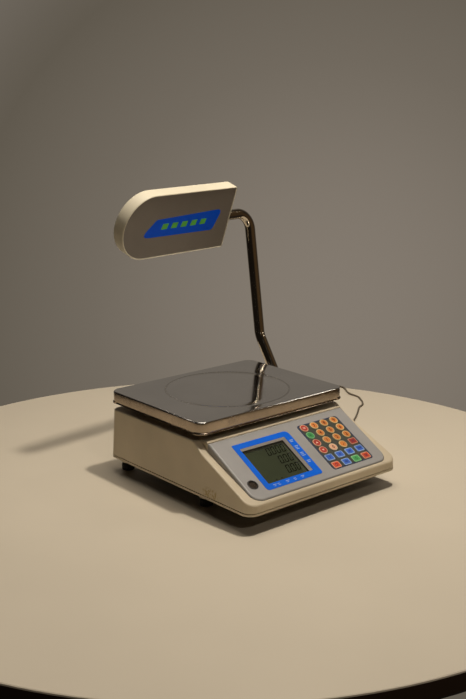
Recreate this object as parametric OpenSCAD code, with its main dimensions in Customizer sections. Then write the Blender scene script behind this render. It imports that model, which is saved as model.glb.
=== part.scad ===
// Electronic counter scale with a tilting customer display on a bent tube.
// Lengths in millimetres, +Z up, the front (operator) side faces -Y.

/* [Body] */
// Width of the body over its base
body_w = 310; // [300:1:330]
// Depth of the body over its base
body_d = 349; // [346:1:352]
// Height of the flat deck over the body's datum
deck_z = 89; // [88:0.5:90]
// How much narrower the deck is than the base, on each side
draft = 4.5; // [2:0.5:6]
// Corner radius of the base
body_r = 17; // [12:1:20]
// Wall thickness of the moulded housings
wall = 2.6; // [2:0.2:3]
// Height of the base tray's underside over the body's datum
clearance = 9; // [8:0.5:9]

/* [Console] */
// Slope of the console, in degrees
console_tilt = 29.1; // [28:0.1:30]
// Width of the raised console
console_w = 277.2; // [270:0.2:278]
// Length of the console down its slope
console_l = 123; // [121:0.5:124]
// Travel of a key
key_travel = 0.7; // [0.4:0.1:0.75]
// Diameter of a round key
key_d = 14.6; // [13:0.2:14.8]
// Width of a rectangular key
key_w = 15.4; // [14:0.2:16]
// Height of a rectangular key
key_h = 12.6; // [11:0.2:13]

/* [Weighing pan] */
// Pan width
pan_w = 300; // [290:1:302]
// Pan depth
pan_d = 234; // [226:1:236]
// Height of the weighing surface above the table
pan_z = 118.9; // [118.5:0.1:121]
// Height of the pan's skirt
skirt = 19.5; // [17:0.5:20]
// Thickness of the pan's sheet
sheet = 1; // [0.8:0.1:1]

/* [Pole and display head] */
// Outer radius of the tube
tube_r = 9.25; // [9:0.05:9.25]
// Tube wall
tube_t = 1.2; // [1:0.1:1.5]
// Bend radius of the tube's two corners
bend_r = 30; // [26:1:34]
// Length of the display head
head_l = 244; // [235:1:250]
// Height of the display head
head_h = 115.4; // [112:0.2:118]
// Forward tilt of the display head at rest, in degrees
head_tilt = 20; // [10:1:25]

/* [Feet] */
// Radius of a levelling foot
foot_r = 10.5; // [9.5:0.5:11]
// How far the feet raise the body's datum over the table
lift = 18; // [17.5:0.5:19]

/* [Adapter lead] */
// Radius of the lead
lead_r = 1.7; // [1.5:0.1:1.7]
// Mean radius of the coiled lead
coil_r = 19; // [18:0.5:20]

/* [Hidden] */
$fn = 64;
pin_r = 2;
// the pan's centre, seen from the middle of the whole object's base
ox = -25.125;
oy = 17.68;
rear = 117;
front = rear - body_d;
seam_z = 12.5;
floor_z = 12;
cons_y = -120;
cons_z = 87.85;
lcd_x = [-96.5, -7.3];
lcd_v = [26.6, 99.7];
pad_x = [27.8, 114.6];
pad_v = [14.4, 111.6];
lvl = [-121.7, 92.9];
feet = [[-126, -100.5], [126, -100.5], [-126, 104.5], [126, 104.5]];
boss_z = -5;
posts = [[-145, -80], [145, -80], [-145, 30], [145, 30]];
clampscrews = [[124, 62], [124, 79]];
padposts = [[-112, -84], [112, -84], [-112, 84], [112, 84]];
pole_y = 70.5;
pole_z = 42;
jack_y = -30;
jack_z = 25;
head_yaw = 6.1;
stub = [134.2, 166.4, 371];
head_mid = 2.9;
head_t = 25.6;
pole_pts = [[112, 70.5, 42], [196, 70.5, 42], [196, 141.9, 152.4], [196, 173, 371],
            [stub[0] - 42 * cos(head_yaw), stub[1] - 42 * sin(head_yaw), 371]];
pole_bends = [0, bend_r, 45, bend_r, 0];
coil_c = [363, 192];
// route of the adapter lead, from the plug to the coil
route = [[194, -30, 43], [206, -30, 42.4], [220, -28, 37.5], [235, -24, 29], [250, -18, 19], [265, -11, 10],
         [280, -3, 4], [296, 7, 1.8], [313, 19, 1.7], [334, 34, 1.7], [358, 50, 1.7], [382, 68, 1.7], [406, 87, 1.7],
         [422, 93.7, 1.7], [435.3, 106, 1.7], [445.6, 120.4, 1.7], [454.9, 135.9, 1.7], [456.9, 149.3, 1.7], [457.9,
         161.6, 1.7], [464, 175, 1.7], [473, 188.4, 1.7], [480, 199.7, 1.7], [481.5, 210.5, 1.7], [476, 219.8, 1.7],
         [465, 223.5, 1.7], [451, 222, 1.7], [437, 218, 1.7], [423, 214, 1.7], [407, 212, 1.7], [392, 211, 1.7], [378,
         211, 1.7]];

// ---- placing ----
module o() translate([ox, oy, lift]) children();
// what stands or lies on the table itself
module on_table() translate([ox, oy, 0]) children();
module on_console() o() translate([0, cons_y, cons_z]) rotate([console_tilt, 0, 0]) children();
module on_head() o() translate(stub) rotate([head_tilt, 0, head_yaw]) children();
// along +X from a point
module along_x(p, l, r, r2 = -1) translate(p) rotate([0, 90, 0]) cylinder(h = l, r1 = r, r2 = r2 < 0 ? r : r2);
function unit(v) = v / norm(v);

// ---- flat shapes ----
// rectangle between two corners, with one radius
module rbox(x0, x1, y0, y1, r) {
  translate([x0 + r, y0]) square([x1 - x0 - 2 * r, y1 - y0]);
  translate([x0, y0 + r]) square([x1 - x0, y1 - y0 - 2 * r]);
  for (x = [x0 + r, x1 - r], y = [y0 + r, y1 - r]) translate([x, y]) circle(r);
}
// rectangle whose lower corners have radius a and upper corners radius b
module rbox2(x0, x1, y0, y1, a, b) {
  translate([x0 + a, y0]) square([x1 - x0 - 2 * a, y1 - y0]);
  translate([x0, y0 + a]) square([x1 - x0, y1 - y0 - a - b]);
  translate([x0 + b, y0 + a]) square([x1 - x0 - 2 * b, y1 - y0 - a]);
  for (x = [x0 + a, x1 - a]) translate([x, y0 + a]) circle(a);
  for (x = [x0 + b, x1 - b]) translate([x, y1 - b]) circle(b);
}
module key_shape(round_key, g = 0) {
  if (round_key) circle(key_d / 2 + g);
  else rbox(-key_w / 2 - g, key_w / 2 + g, -key_h / 2 - g, key_h / 2 + g, 2.4 + g);
}
// side view (y, z) pushed across the width
module side_prism(pts, w) translate([-w / 2, 0, 0]) rotate([90, 0, 90]) linear_extrude(w) polygon(pts);
// base outline, moved in by e
module base_shape(e) rbox(-body_w / 2 + e, body_w / 2 - e, front + e, rear - e, body_r - e);

// ---- housings ----
module tapered(e, z0, z1, t) hull() {
  translate([0, 0, z0]) linear_extrude(0.01) base_shape($fn = 32, e);
  translate([0, 0, z1 - 0.01]) linear_extrude(0.01) base_shape($fn = 32, e + t);
}
outer_side = [[rear + 1, seam_z], [rear + 1, deck_z], [-98, deck_z], [-103, deck_z - 1.8],
              [-108, 83.6], [-113, 79.9], [-119, 76], [-127, 71.8], [-136, 67.8],
              [front - 1, 23.9], [front - 1, seam_z]];
inner_side = [[rear, seam_z - 1], [rear, deck_z - wall], [-97.2, deck_z - wall], [-101.6, deck_z - 4.3],
              [-106.4, 81.5], [-111.5, 77.7], [-117.7, 73.7], [-125.9, 69.4], [-135, 65.4],
              [front + wall, 21.5], [front + wall, seam_z - 1]];
module lower_housing() color([0.84, 0.81, 0.74]) o() difference() {
  union() {
    translate([0, 0, clearance]) linear_extrude(floor_z - clearance) base_shape(0);
    translate([0, 0, clearance]) linear_extrude(seam_z - clearance) difference() { base_shape(0); base_shape(5); }
    translate([0, 0, floor_z - 0.5]) linear_extrude(5.5) difference() { base_shape(3.1); base_shape(5.1); }
    for (p = feet) translate([p[0], p[1], floor_z - 0.5]) cylinder(h = 12.5, r = 8);
    for (p = feet) translate([p[0], p[1], boss_z]) {
      cylinder(h = 1, r1 = 10, r2 = 11);
      translate([0, 0, 1]) cylinder(h = clearance - boss_z - 0.5, r = 11);
    }
    for (p = posts) translate([p[0], p[1], floor_z - 0.5]) cylinder(h = 8.5, r = 5);
    translate([0, 0, floor_z - 0.5]) linear_extrude(20.5) difference() {
      translate([-129, 4]) square([109, 78]);
      translate([-126.5, 6.5]) square([104, 73]);
    }
    for (x = [-60, 60]) translate([x - 1, -215, floor_z - 0.5]) cube([2, 190, 5]);
  }
  for (p = feet) translate([p[0], p[1], boss_z - 1]) cylinder(h = 30, r = 3.05);
  for (p = posts) translate([p[0], p[1], clearance - 1]) cylinder(h = 20, r = 2.2);
  for (p = clampscrews) translate([p[0], p[1], clearance - 1]) cylinder(h = 20, r = 2.2);
  for (y = [-57, -37]) translate([0, y, clearance - 1]) cylinder(h = 20, r = 3.3);
  translate([-126.5, 6.5, clearance - 1]) cube([104, 73, 6]);
  translate([0, 0, clearance - 1]) linear_extrude(3) rbox(-130.3, -18.7, 2.7, 83.3, 4.3);
}
module upper_housing() color([0.86, 0.83, 0.76]) difference() {
  o() difference() {
    union() {
      intersection() {
        tapered(0, seam_z, deck_z, draft);
        union() {
          side_prism(outer_side, body_w + 2);
          side_prism([[-90, deck_z], [-117, deck_z], [-119.4, deck_z - 0.6], [-121, 87], [-121, 60], [-90, 60]], console_w);
        }
      }
    }
    difference() {
      intersection() {
        tapered(wall, seam_z - 1, deck_z - wall, draft);
        union() {
          side_prism(inner_side, body_w);
          side_prism([[-90, deck_z - wall], [-126, deck_z - wall], [-126, 50], [-90, 50]], console_w - 5);
        }
      }
      for (p = posts) translate([p[0], p[1], 20]) cylinder(h = 70, r = 5);
    }
    for (p = posts) translate([p[0], p[1], 10]) cylinder(h = 40, r = 2);
    translate([0, 0, deck_z - wall - 1]) linear_extrude(6) rbox(-24, 24, 20, 73, 5);
    along_x([140, pole_y, pole_z], 30, 12.3);
    along_x([140, jack_y, jack_z], 30, 5.7);
  }
  on_console() translate([0, 0, -24]) linear_extrude(60)
    rbox2(-console_w / 2 - 0.2, console_w / 2 + 0.2, -console_l - 0.2, 0.2, 18, 3);
}
module console_plate() color([0.66, 0.65, 0.62]) on_console() difference() {
  union() {
    difference() {
      translate([0, 0, -14]) linear_extrude(14) rbox2(-console_w / 2, console_w / 2, -console_l, 0, 17.8, 2.8);
      translate([0, 0, -15]) linear_extrude(15 - wall)
        rbox2(-console_w / 2 + wall, console_w / 2 - wall, -console_l + wall, -wall, 15.2, 1);
    }
    translate([lcd_x[0] - 3, -lcd_v[1] - 3, -12.6]) cube([lcd_x[1] - lcd_x[0] + 6, lcd_v[1] - lcd_v[0] + 6, 11]);
    for (x = [pad_x[0] - 5, pad_x[1] + 5], v = [20, 106]) {
      translate([x, -v, -4.6]) cylinder(h = 3, r = 2.5);
      translate([x, -v, -7.4]) cylinder(h = 3, r = 1.45);
    }
  }
  translate([0, 0, -13]) linear_extrude(14) rbox(lcd_x[0], lcd_x[1], -lcd_v[1], -lcd_v[0], 1.5);
  translate([lcd_x[0] - 1.7, -lcd_v[1] - 1.7, -13]) cube([lcd_x[1] - lcd_x[0] + 3.4, lcd_v[1] - lcd_v[0] + 3.4, 6]);
  translate([0, 0, -1.5]) linear_extrude(2) rbox(pad_x[0] - 0.15, pad_x[1] + 0.15, -pad_v[1] - 0.15, -pad_v[0] + 0.15, 5.2);
  translate([0, 0, -4]) linear_extrude(4) rbox(pad_x[0] + 1.1, pad_x[1] - 1.1, -pad_v[1] + 1.3, -pad_v[0] - 0.2, 4.2);
  translate([lvl[0], -lvl[1], -20]) cylinder(h = 25, r = 7.8);
}
module display_overlay() color([0.1, 0.36, 0.84]) on_console() difference() {
  linear_extrude(0.45) union() {
    rbox(-106, 3.6, -110.2, -16.6, 5);
    translate([-106, -21.6]) square([12, 3]);
  }
  translate([0, 0, -1]) linear_extrude(3) rbox(lcd_x[0], lcd_x[1], -lcd_v[1], -lcd_v[0], 1.5);
}
module lcd_window() color([0.8, 0.85, 0.8, 0.4]) on_console()
  translate([lcd_x[0] - 1.6, -lcd_v[1] - 1.6, -8.5]) cube([lcd_x[1] - lcd_x[0] + 3.2, lcd_v[1] - lcd_v[0] + 3.2, 1.5]);
module lcd_module() color([0.3, 0.33, 0.26]) on_console() {
  translate([lcd_x[0] - 1.5, -lcd_v[1] - 1.5, -12.5]) cube([lcd_x[1] - lcd_x[0] + 3, lcd_v[1] - lcd_v[0] + 3, 3.9]);
  translate([lcd_x[0] + 6, -lcd_v[1] + 4, -14.6]) cube([lcd_x[1] - lcd_x[0] - 12, 12, 2.2]);
}

// ---- keypad ----
function kx(c) = 38.5 + 21.63 * c;
function kv(r) = 22.2 + 16.36 * r;
function is_round(r, c) = r < 3 || (r == 3 && c < 3);
module keypad_panel() color([0.2, 0.24, 0.32]) on_console() difference() {
  translate([0, 0, -1.5]) linear_extrude(1.7) rbox(pad_x[0], pad_x[1], -pad_v[1], -pad_v[0], 5);
  for (r = [0:5], c = [0:3]) translate([kx(c), -kv(r), -3]) linear_extrude(5) key_shape(is_round(r, c), 0.3);
}
module key_mat() color([0.3, 0.3, 0.3]) on_console() difference() {
  translate([0, 0, -4.6]) linear_extrude(1.2) rbox(pad_x[0] + 1.8, pad_x[1] - 1.8, -pad_v[1] + 2, -pad_v[0] - 2, 2);
  for (r = [0:4], c = [0:2]) translate([kx(c) + 10.8, -kv(r) - 8.2, -5]) cylinder(h = 2, r = 1.5);
}
module key_at(r, c, col) color(col) on_console() translate([kx(c), -kv(r), -2.6]) {
  linear_extrude(3.8) key_shape(is_round(r, c));
  translate([-8.8, -4, 0]) cube([17.6, 8, 1]);
}
module main_board() color([0.1, 0.4, 0.22]) on_console() difference() {
  union() {
    translate([pad_x[0] - 9, -pad_v[1] - 3, -6.2]) cube([pad_x[1] - pad_x[0] + 18, pad_v[1] - pad_v[0] + 4, 1.6]);
    translate([50, -60, -8.4]) cube([14, 14, 2.3]);
    translate([78, -64, -8]) cube([10, 20, 1.9]);
    translate([40, -34, -13]) cube([22, 8, 6.9]);
    translate([84, -34, -13]) cube([16, 8, 6.9]);
    for (x = [44, 56]) translate([x, -92, -14]) cylinder(h = 8, r = 4);
  }
  for (x = [pad_x[0] - 5, pad_x[1] + 5], v = [20, 106]) translate([x, -v, -8]) cylinder(h = 4, r = 1.6);
}

// ---- level ----
lvl_y = cons_y - lvl[1] * cos(console_tilt);
lvl_z = cons_z - lvl[1] * sin(console_tilt);
module level_housing() color([0.05, 0.05, 0.05]) difference() {
  union() {
    on_console() translate([lvl[0], -lvl[1], 0]) cylinder(h = 0.5, r = 8.7);
    on_console() translate([lvl[0], -lvl[1], -8]) cylinder(h = 8.2, r = 7.6);
    o() translate([lvl[0], lvl_y + 3.4, lvl_z - 16]) cylinder(h = 9, r = 7.6);
  }
  on_console() translate([lvl[0], -lvl[1], -5]) cylinder(h = 8, r = 6.6);
  o() translate([lvl[0], lvl_y + 3.4, lvl_z - 14]) cylinder(h = 9, r = 6.05);
}
module level_vial() color([0.35, 0.7, 0.3, 0.7]) o() translate([lvl[0], lvl_y + 3.4, lvl_z - 14]) {
  cylinder(h = 5.5, r = 6);
  translate([0, 0, 5]) cylinder(h = 1, r1 = 6, r2 = 5.2);
}

// ---- weighing mechanism ----
module pan_shape(e) rbox(-pan_w / 2 + e, pan_w / 2 - e, -pan_d / 2 + e, pan_d / 2 - e, 17 - e);
module pan() color([0.4, 0.4, 0.41]) o() difference() {
  union() {
    translate([0, 0, pan_z - skirt]) linear_extrude(skirt) pan_shape(0);
    translate([0, 0, pan_z - skirt]) linear_extrude(2.4) pan_shape(-1.6);
  }
  translate([0, 0, pan_z - skirt - 1]) linear_extrude(skirt - sheet + 1) pan_shape(sheet);
}
module spider() color([0.72, 0.72, 0.73]) o() difference() {
  union() {
    translate([-15, 28, 72]) cube([30, 38, 20]);
    translate([-30, -34, 91.5]) cube([60, 100, 8]);
    for (p = padposts) rotate([0, 0, atan2(p[1], p[0])]) translate([0, -7, 91.5]) cube([140, 14, 8]);
    for (p = padposts) translate([p[0], p[1], 91.5]) cylinder(h = 20.5, r = 8);
  }
  for (y = [37, 57]) translate([0, y, 70]) cylinder(h = 40, r = 3.3);
  for (y = [37, 57]) translate([0, y, 95]) cylinder(h = 10, r = 5.3);
  for (p = padposts) translate([p[0], p[1], 105]) cylinder(h = 10, r = 3.1);
}
module pan_pads() color([0.08, 0.08, 0.08]) o() for (p = padposts) translate([p[0], p[1], 0]) {
  translate([0, 0, 112]) cylinder(h = pan_z - sheet - 112, r = 8.5);
  translate([0, 0, 106]) cylinder(h = 6.5, r = 3);
}
module load_cell() color([0.78, 0.78, 0.8]) o() difference() {
  translate([-15, -65, 50]) cube([30, 130, 22]);
  for (y = [-14, 14]) along_x([-20, y, 61], 40, 8);
  translate([-20, -14, 57]) cube([40, 28, 8]);
  for (y = [-57, -37]) translate([0, y, 49]) cylinder(h = 15, r = 3);
  for (y = [37, 57]) translate([0, y, 58]) cylinder(h = 15, r = 3);
}
module load_cell_pedestal() color([0.62, 0.62, 0.64]) o() difference() {
  union() {
    translate([-17, -66, floor_z]) cube([34, 39, 38]);
    translate([-26, -70, floor_z]) cube([52, 47, 5]);
  }
  for (y = [-57, -37]) translate([0, y, floor_z - 1]) cylinder(h = 40, r = 3.3);
}
module load_cell_screws() color([0.7, 0.7, 0.72]) o() {
  for (y = [-57, -37]) translate([0, y, 0]) {
    translate([0, 0, clearance]) cylinder(h = 53, r = 2.95);
    translate([0, 0, clearance - 4]) difference() { cylinder(h = 4, r = 5); translate([0, 0, -1]) cylinder(h = 3.5, r = 2.4, $fn = 6); }
  }
  for (y = [37, 57]) translate([0, y, 0]) {
    translate([0, 0, 60]) cylinder(h = 35, r = 2.95);
    translate([0, 0, 95]) difference() { cylinder(h = 4, r = 5); translate([0, 0, 1.5]) cylinder(h = 3.5, r = 2.4, $fn = 6); }
  }
}

// ---- battery ----
module battery() color([0.16, 0.17, 0.2]) o() {
  translate([-125, 8, 11.1]) cube([101, 70, 44]);
  translate([-125, 13, 55]) cube([101, 60, 3]);
  for (x = [-112, -42]) translate([x, 62, 58]) cube([4.8, 0.8, 6]);
}
module battery_cover() color([0.8, 0.77, 0.7]) o() difference() {
  translate([0, 0, clearance]) linear_extrude(2) rbox(-130, -19, 3, 83, 4);
  for (i = [0:5]) translate([-33, 33 + 4 * i, clearance - 1]) cube([9, 1.6, 1.6]);
}

// ---- levelling feet ----
module foot(p) color([0.1, 0.1, 0.1]) on_table() translate([p[0], p[1], 0]) {
  difference() {
    union() {
      cylinder(h = 1.2, r1 = foot_r - 1.2, r2 = foot_r);
      translate([0, 0, 1.2]) cylinder(h = 7.8, r = foot_r);
      translate([0, 0, 9]) cylinder(h = 1.2, r1 = foot_r, r2 = foot_r - 1.2);
    }
    for (i = [0:11]) rotate([0, 0, 30 * i]) translate([foot_r + 0.9, 0, 1.6]) cylinder(h = 16, r = 1.8);
  }
  translate([0, 0, 10]) cylinder(h = lift + boss_z - 10.5, r = 5);
  translate([0, 0, 10]) cylinder(h = lift + 12.5, r = 3);
}
module housing_screws() color([0.6, 0.6, 0.62]) o() for (p = concat(posts, clampscrews)) translate([p[0], p[1], 0]) {
  translate([0, 0, clearance - 0.1]) cylinder(h = 24, r = 1.95);
  difference() {
    translate([0, 0, clearance - 2.4]) cylinder(h = 2.4, r = 3.6);
    for (a = [0, 90]) rotate([0, 0, a]) translate([-2.2, -0.45, clearance - 3]) cube([4.4, 0.9, 2.2]);
  }
}

// ---- pole ----
// a frame whose x, y and z axes are a, b and c, at p
module framed(a, b, c, p) multmatrix([[a[0], b[0], c[0], p[0]], [a[1], b[1], c[1], p[1]], [a[2], b[2], c[2], p[2]], [0, 0, 0, 1]]) children();
function dir(i) = unit(pole_pts[i + 1] - pole_pts[i]);
function cut(i) = pole_bends[i] == 0 ? 0 : pole_bends[i] * tan(acos(dir(i - 1) * dir(i)) / 2);
// every straight of the tube with radius r, g longer at both ends, and every bend, which is s thicker
module pipe(r, g, s) {
  for (i = [0:3]) {
    d = dir(i);
    n = unit(cross(d, abs(d[0]) > 0.9 ? [0, 0, 1] : [1, 0, 0]));
    a = pole_pts[i] + d * (cut(i) - (i == 0 ? g : 0));
    l = norm(pole_pts[i + 1] - pole_pts[i]) - cut(i) - cut(i + 1) + (i == 0 || i == 3 ? g : 0);
    framed(n, cross(d, n), d, a) cylinder(h = l, r = r);
  }
  for (i = [1:3]) {
    d = dir(i - 1);
    e = dir(i);
    n = unit(e - (e * d) * d);
    framed(-n, d, cross(-n, d), pole_pts[i] - d * cut(i) + n * pole_bends[i])
      rotate([0, 0, -1]) rotate_extrude(angle = acos(d * e) + 2) translate([pole_bends[i], 0]) circle(r + s);
  }
}
module pole_tube() color([0.75, 0.75, 0.76]) o() difference() {
  pipe(tube_r, 0, 0.05);
  pipe(tube_r - tube_t, 1, -0.05);
}
module pole_clamp() color([0.5, 0.5, 0.52]) o() difference() {
  union() {
    translate([116, 57, floor_z]) cube([33.2, 27, 46]);
    along_x([149, pole_y, pole_z], 8, 12);
  }
  along_x([110, pole_y, pole_z], 60, tube_r + 0.02);
  translate([110, pole_y - 1, pole_z + 5]) cube([36, 2, 20]);
  for (p = clampscrews) translate([p[0], p[1], floor_z - 1]) cylinder(h = 23, r = 2);
}

// ---- display head: x along it, y towards its back, z up its face ----
module head_shape(e) {
  r = head_h / 2;
  translate([-head_l + r, head_mid]) circle(r - e);
  translate([-head_l + r, head_mid - r + e]) square([head_l - r - 4, head_h - 2 * e]);
  translate([-5, head_mid - r + 4]) square([5 - e, head_h - 8]);
  for (s = [-1, 1]) translate([-4, head_mid + s * (r - 4)]) circle(4 - e);
}
module head_slab(y0, y1, e) translate([0, y1, 0]) rotate([90, 0, 0]) linear_extrude(y1 - y0) head_shape(e);
module head_shell() color([0.85, 0.81, 0.7]) on_head() difference() {
  head_slab(-9.8, head_t / 2, 0);
  head_slab(-10.8, head_t / 2 - 2.4, 2.4);
  along_x([-10, 0, 0], 20, tube_r + 0.4);
  translate([-196, 5, -22]) cube([150, 12, 58]);
}
module head_front_panel() color([0.55, 0.48, 0.4]) on_head() {
  head_slab(-head_t / 2, -9.8, 0);
  difference() {
    head_slab(-10, -7.4, 2.7);
    head_slab(-9.9, -7, 3.9);
    translate([-10, -11, -13.4]) cube([20, 10, 26.8]);
  }
}
module head_bushing() color([0.2, 0.2, 0.2]) on_head() difference() {
  translate([-44, -9.7, -13]) cube([41.4, 20, 26]);
  along_x([-50, 0, 0], 60, tube_r + 0.05);
}
module head_display() color([0.1, 0.35, 0.2]) on_head() {
  translate([-198, 6.4, -24]) cube([154, 3.9, 62]);
  translate([-190, 4.8, -20]) cube([136, 1.7, 54]);
  translate([-120, -2, -10]) cube([20, 7, 8]);
}
module head_lens() color([0.6, 0.65, 0.6, 0.5]) on_head() translate([-195.8, 10.4, -21.8]) cube([149.6, 2.1, 57.6]);

// ---- power inlet, lead and adapter ----
module dc_jack() color([0.1, 0.1, 0.1]) o() difference() {
  union() {
    along_x([138, jack_y, jack_z], 17, 5.5);
    along_x([154.8, jack_y, jack_z], 1.2, 7.2);
  }
  difference() {
    along_x([146.5, jack_y, jack_z], 20, 2.85);
    along_x([140, jack_y, jack_z], 14.5, 0.9);
  }
}
module dc_plug() color([0.06, 0.06, 0.06]) o() difference() {
  union() {
    along_x([147.5, jack_y, jack_z], 9.2, 2.75);
    along_x([156.2, jack_y, jack_z], 24.8, 4.9);
    along_x([181, jack_y, jack_z], 13, 3.4, 2.1);
  }
  along_x([147, jack_y, jack_z], 9, 1);
  for (i = [0:3]) along_x([161 + 4 * i, jack_y, jack_z], 1.4, 6) ;
}
module dc_plug_core() color([0.06, 0.06, 0.06]) o() along_x([156.2, jack_y, jack_z], 24.8, 4.3);

// smooth curve through the route's points, as ring centres
function bend4(a, b, c, d, t) = 0.5 * ((2 * b) + (c - a) * t + (2 * a - 5 * b + 4 * c - d) * t * t + (3 * b - a - 3 * c + d) * t * t * t);
function pt(i) = route[max(0, min(len(route) - 1, i))];
line = [for (i = [0:len(route) - 2], t = [0, 0.5]) bend4(pt(i - 1), pt(i), pt(i + 1), pt(i + 2), t), route[len(route) - 1]];
function heading(i) = unit(line[min(i + 1, len(line) - 1)] - line[max(i - 1, 0)]);
function ring(i) = let (d = i == 0 ? [1, 0, 0] : i == len(line) - 1 ? [-1, 0, 0] : heading(i), s = unit(cross(d, [0, 0, 1])), u = cross(s, d))
  [for (k = [0:7]) line[i] + lead_r * (cos(45 * k) * s + sin(45 * k) * u)];
module adapter_lead() color([0.25, 0.23, 0.21]) on_table() {
  n = len(line);
  polyhedron(
    points = [for (i = [0:n - 1]) each ring(i)],
    faces = concat([[for (k = [0:7]) k]],
                   [for (i = [0:n - 2], k = [0:7]) [8 * i + k, 8 * (i + 1) + k, 8 * (i + 1) + (k + 1) % 8, 8 * i + (k + 1) % 8]],
                   [[for (k = [7:-1:0]) 8 * (n - 1) + k]]));
}
module lead_coil() color([0.25, 0.23, 0.21]) on_table() translate([coil_c[0], coil_c[1], 0])
  rotate_extrude() translate([coil_r - 3 * lead_r, 0]) square([6 * lead_r, 6 * lead_r]);
module power_adapter() color([0.07, 0.07, 0.07]) on_table() {
  translate([257, coil_c[1] + coil_r - 21, 0]) rotate([0, 0, 0]) linear_extrude(28) rbox(0, 68, 0, 42, 5);
  translate([259, coil_c[1] + coil_r - 19, 27.5]) linear_extrude(2.5) rbox(0, 64, 0, 38, 4);
  along_x([324.5, coil_c[1] + coil_r, 3 * lead_r + 1.2], 22.5, 4.4, 2.6);
  for (s = [-1, 1]) translate([285, coil_c[1] + coil_r + s * 9.5, 29]) cylinder(h = 20, r = pin_r);
}

lower_housing();
upper_housing();
console_plate();
display_overlay();
lcd_window();
lcd_module();
keypad_panel();
key_mat();
main_board();
level_housing();
level_vial();
pan();
spider();
pan_pads();
load_cell();
load_cell_pedestal();
load_cell_screws();
battery();
battery_cover();
foot(feet[0]);  // foot_front_left
foot(feet[1]);  // foot_front_right
foot(feet[2]);  // foot_rear_left
foot(feet[3]);  // foot_rear_right
housing_screws();
pole_tube();
pole_clamp();
head_shell();
head_front_panel();
head_bushing();
head_display();
head_lens();
dc_jack();
adapter_lead();
lead_coil();
union() { dc_plug(); dc_plug_core(); }
power_adapter();
key_at(0, 0, [0.8, 0.2, 0.15]);  // key_clear
key_at(0, 1, [0.9, 0.5, 0.2]);  // key_7
key_at(0, 2, [0.9, 0.5, 0.2]);  // key_8
key_at(0, 3, [0.9, 0.5, 0.2]);  // key_9
key_at(1, 0, [0.3, 0.65, 0.35]);  // key_add
key_at(1, 1, [0.9, 0.5, 0.2]);  // key_4
key_at(1, 2, [0.9, 0.5, 0.2]);  // key_5
key_at(1, 3, [0.9, 0.5, 0.2]);  // key_6
key_at(2, 0, [0.8, 0.2, 0.15]);  // key_up
key_at(2, 1, [0.9, 0.5, 0.2]);  // key_1
key_at(2, 2, [0.9, 0.5, 0.2]);  // key_2
key_at(2, 3, [0.9, 0.5, 0.2]);  // key_3
key_at(3, 0, [0.8, 0.2, 0.15]);  // key_down
key_at(3, 1, [0.9, 0.75, 0.6]);  // key_0
key_at(3, 2, [0.9, 0.5, 0.2]);  // key_point
key_at(3, 3, [0.75, 0.15, 0.15]);  // key_total
key_at(4, 0, [0.2, 0.4, 0.85]);  // key_memory_1
key_at(4, 1, [0.2, 0.4, 0.85]);  // key_memory_2
key_at(4, 2, [0.2, 0.4, 0.85]);  // key_memory_3
key_at(4, 3, [0.2, 0.4, 0.85]);  // key_memory_4
key_at(5, 0, [0.85, 0.25, 0.15]);  // key_power
key_at(5, 1, [0.2, 0.45, 0.9]);  // key_tare
key_at(5, 2, [0.25, 0.7, 0.35]);  // key_zero
key_at(5, 3, [0.85, 0.35, 0.2]);  // key_print
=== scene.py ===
import bpy
import math
from mathutils import Matrix, Vector
from mathutils.geometry import tessellate_polygon


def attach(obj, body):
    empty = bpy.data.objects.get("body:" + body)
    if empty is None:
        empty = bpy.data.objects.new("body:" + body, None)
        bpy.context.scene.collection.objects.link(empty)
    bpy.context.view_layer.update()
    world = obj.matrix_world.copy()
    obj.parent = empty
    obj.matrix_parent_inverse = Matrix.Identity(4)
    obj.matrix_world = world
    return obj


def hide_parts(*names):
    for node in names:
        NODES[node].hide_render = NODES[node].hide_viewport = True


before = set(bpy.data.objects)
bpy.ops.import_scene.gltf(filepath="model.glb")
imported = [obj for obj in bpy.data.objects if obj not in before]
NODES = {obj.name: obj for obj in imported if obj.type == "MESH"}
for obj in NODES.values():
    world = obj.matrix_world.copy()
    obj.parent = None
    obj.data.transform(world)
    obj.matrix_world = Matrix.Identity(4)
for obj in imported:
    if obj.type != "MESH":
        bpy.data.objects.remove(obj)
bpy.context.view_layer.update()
scene = bpy.context.scene
BODY, HEAD = "scale_body", "display_head"

# ---------------------------------------------------------------- places
OX, OY = -25.125, 17.68
LIFT = 18.0
MM = 0.001
TILT = math.radians(29.1)
CT, ST = math.cos(TILT), math.sin(TILT)
STUB = Vector((134.2, 166.4, 371.0))
HROT = Matrix.Rotation(math.radians(6.1), 3, "Z") @ Matrix.Rotation(math.radians(20), 3, "X")


def W(x, y, z):
    """A point of the scale, from millimetres about the pan's centre and over the body's datum, which the feet raise."""
    return Vector(((x + OX) * MM, (y + OY) * MM, (z + LIFT) * MM))


def T(x, y, z):
    """The same for what stands on the table: z over the table."""
    return Vector(((x + OX) * MM, (y + OY) * MM, z * MM))


def con(x, s, w):
    """A point of the console: x across, s up the slope from its top edge, w out of it."""
    return W(x, -120 + s * CT - w * ST, 87.85 + s * ST + w * CT)


def hd(x, y, z):
    """A point of the display head: x along it, y to its back, z up its face."""
    p = STUB + HROT @ Vector((x, y, z))
    return W(p.x, p.y, p.z)


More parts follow.
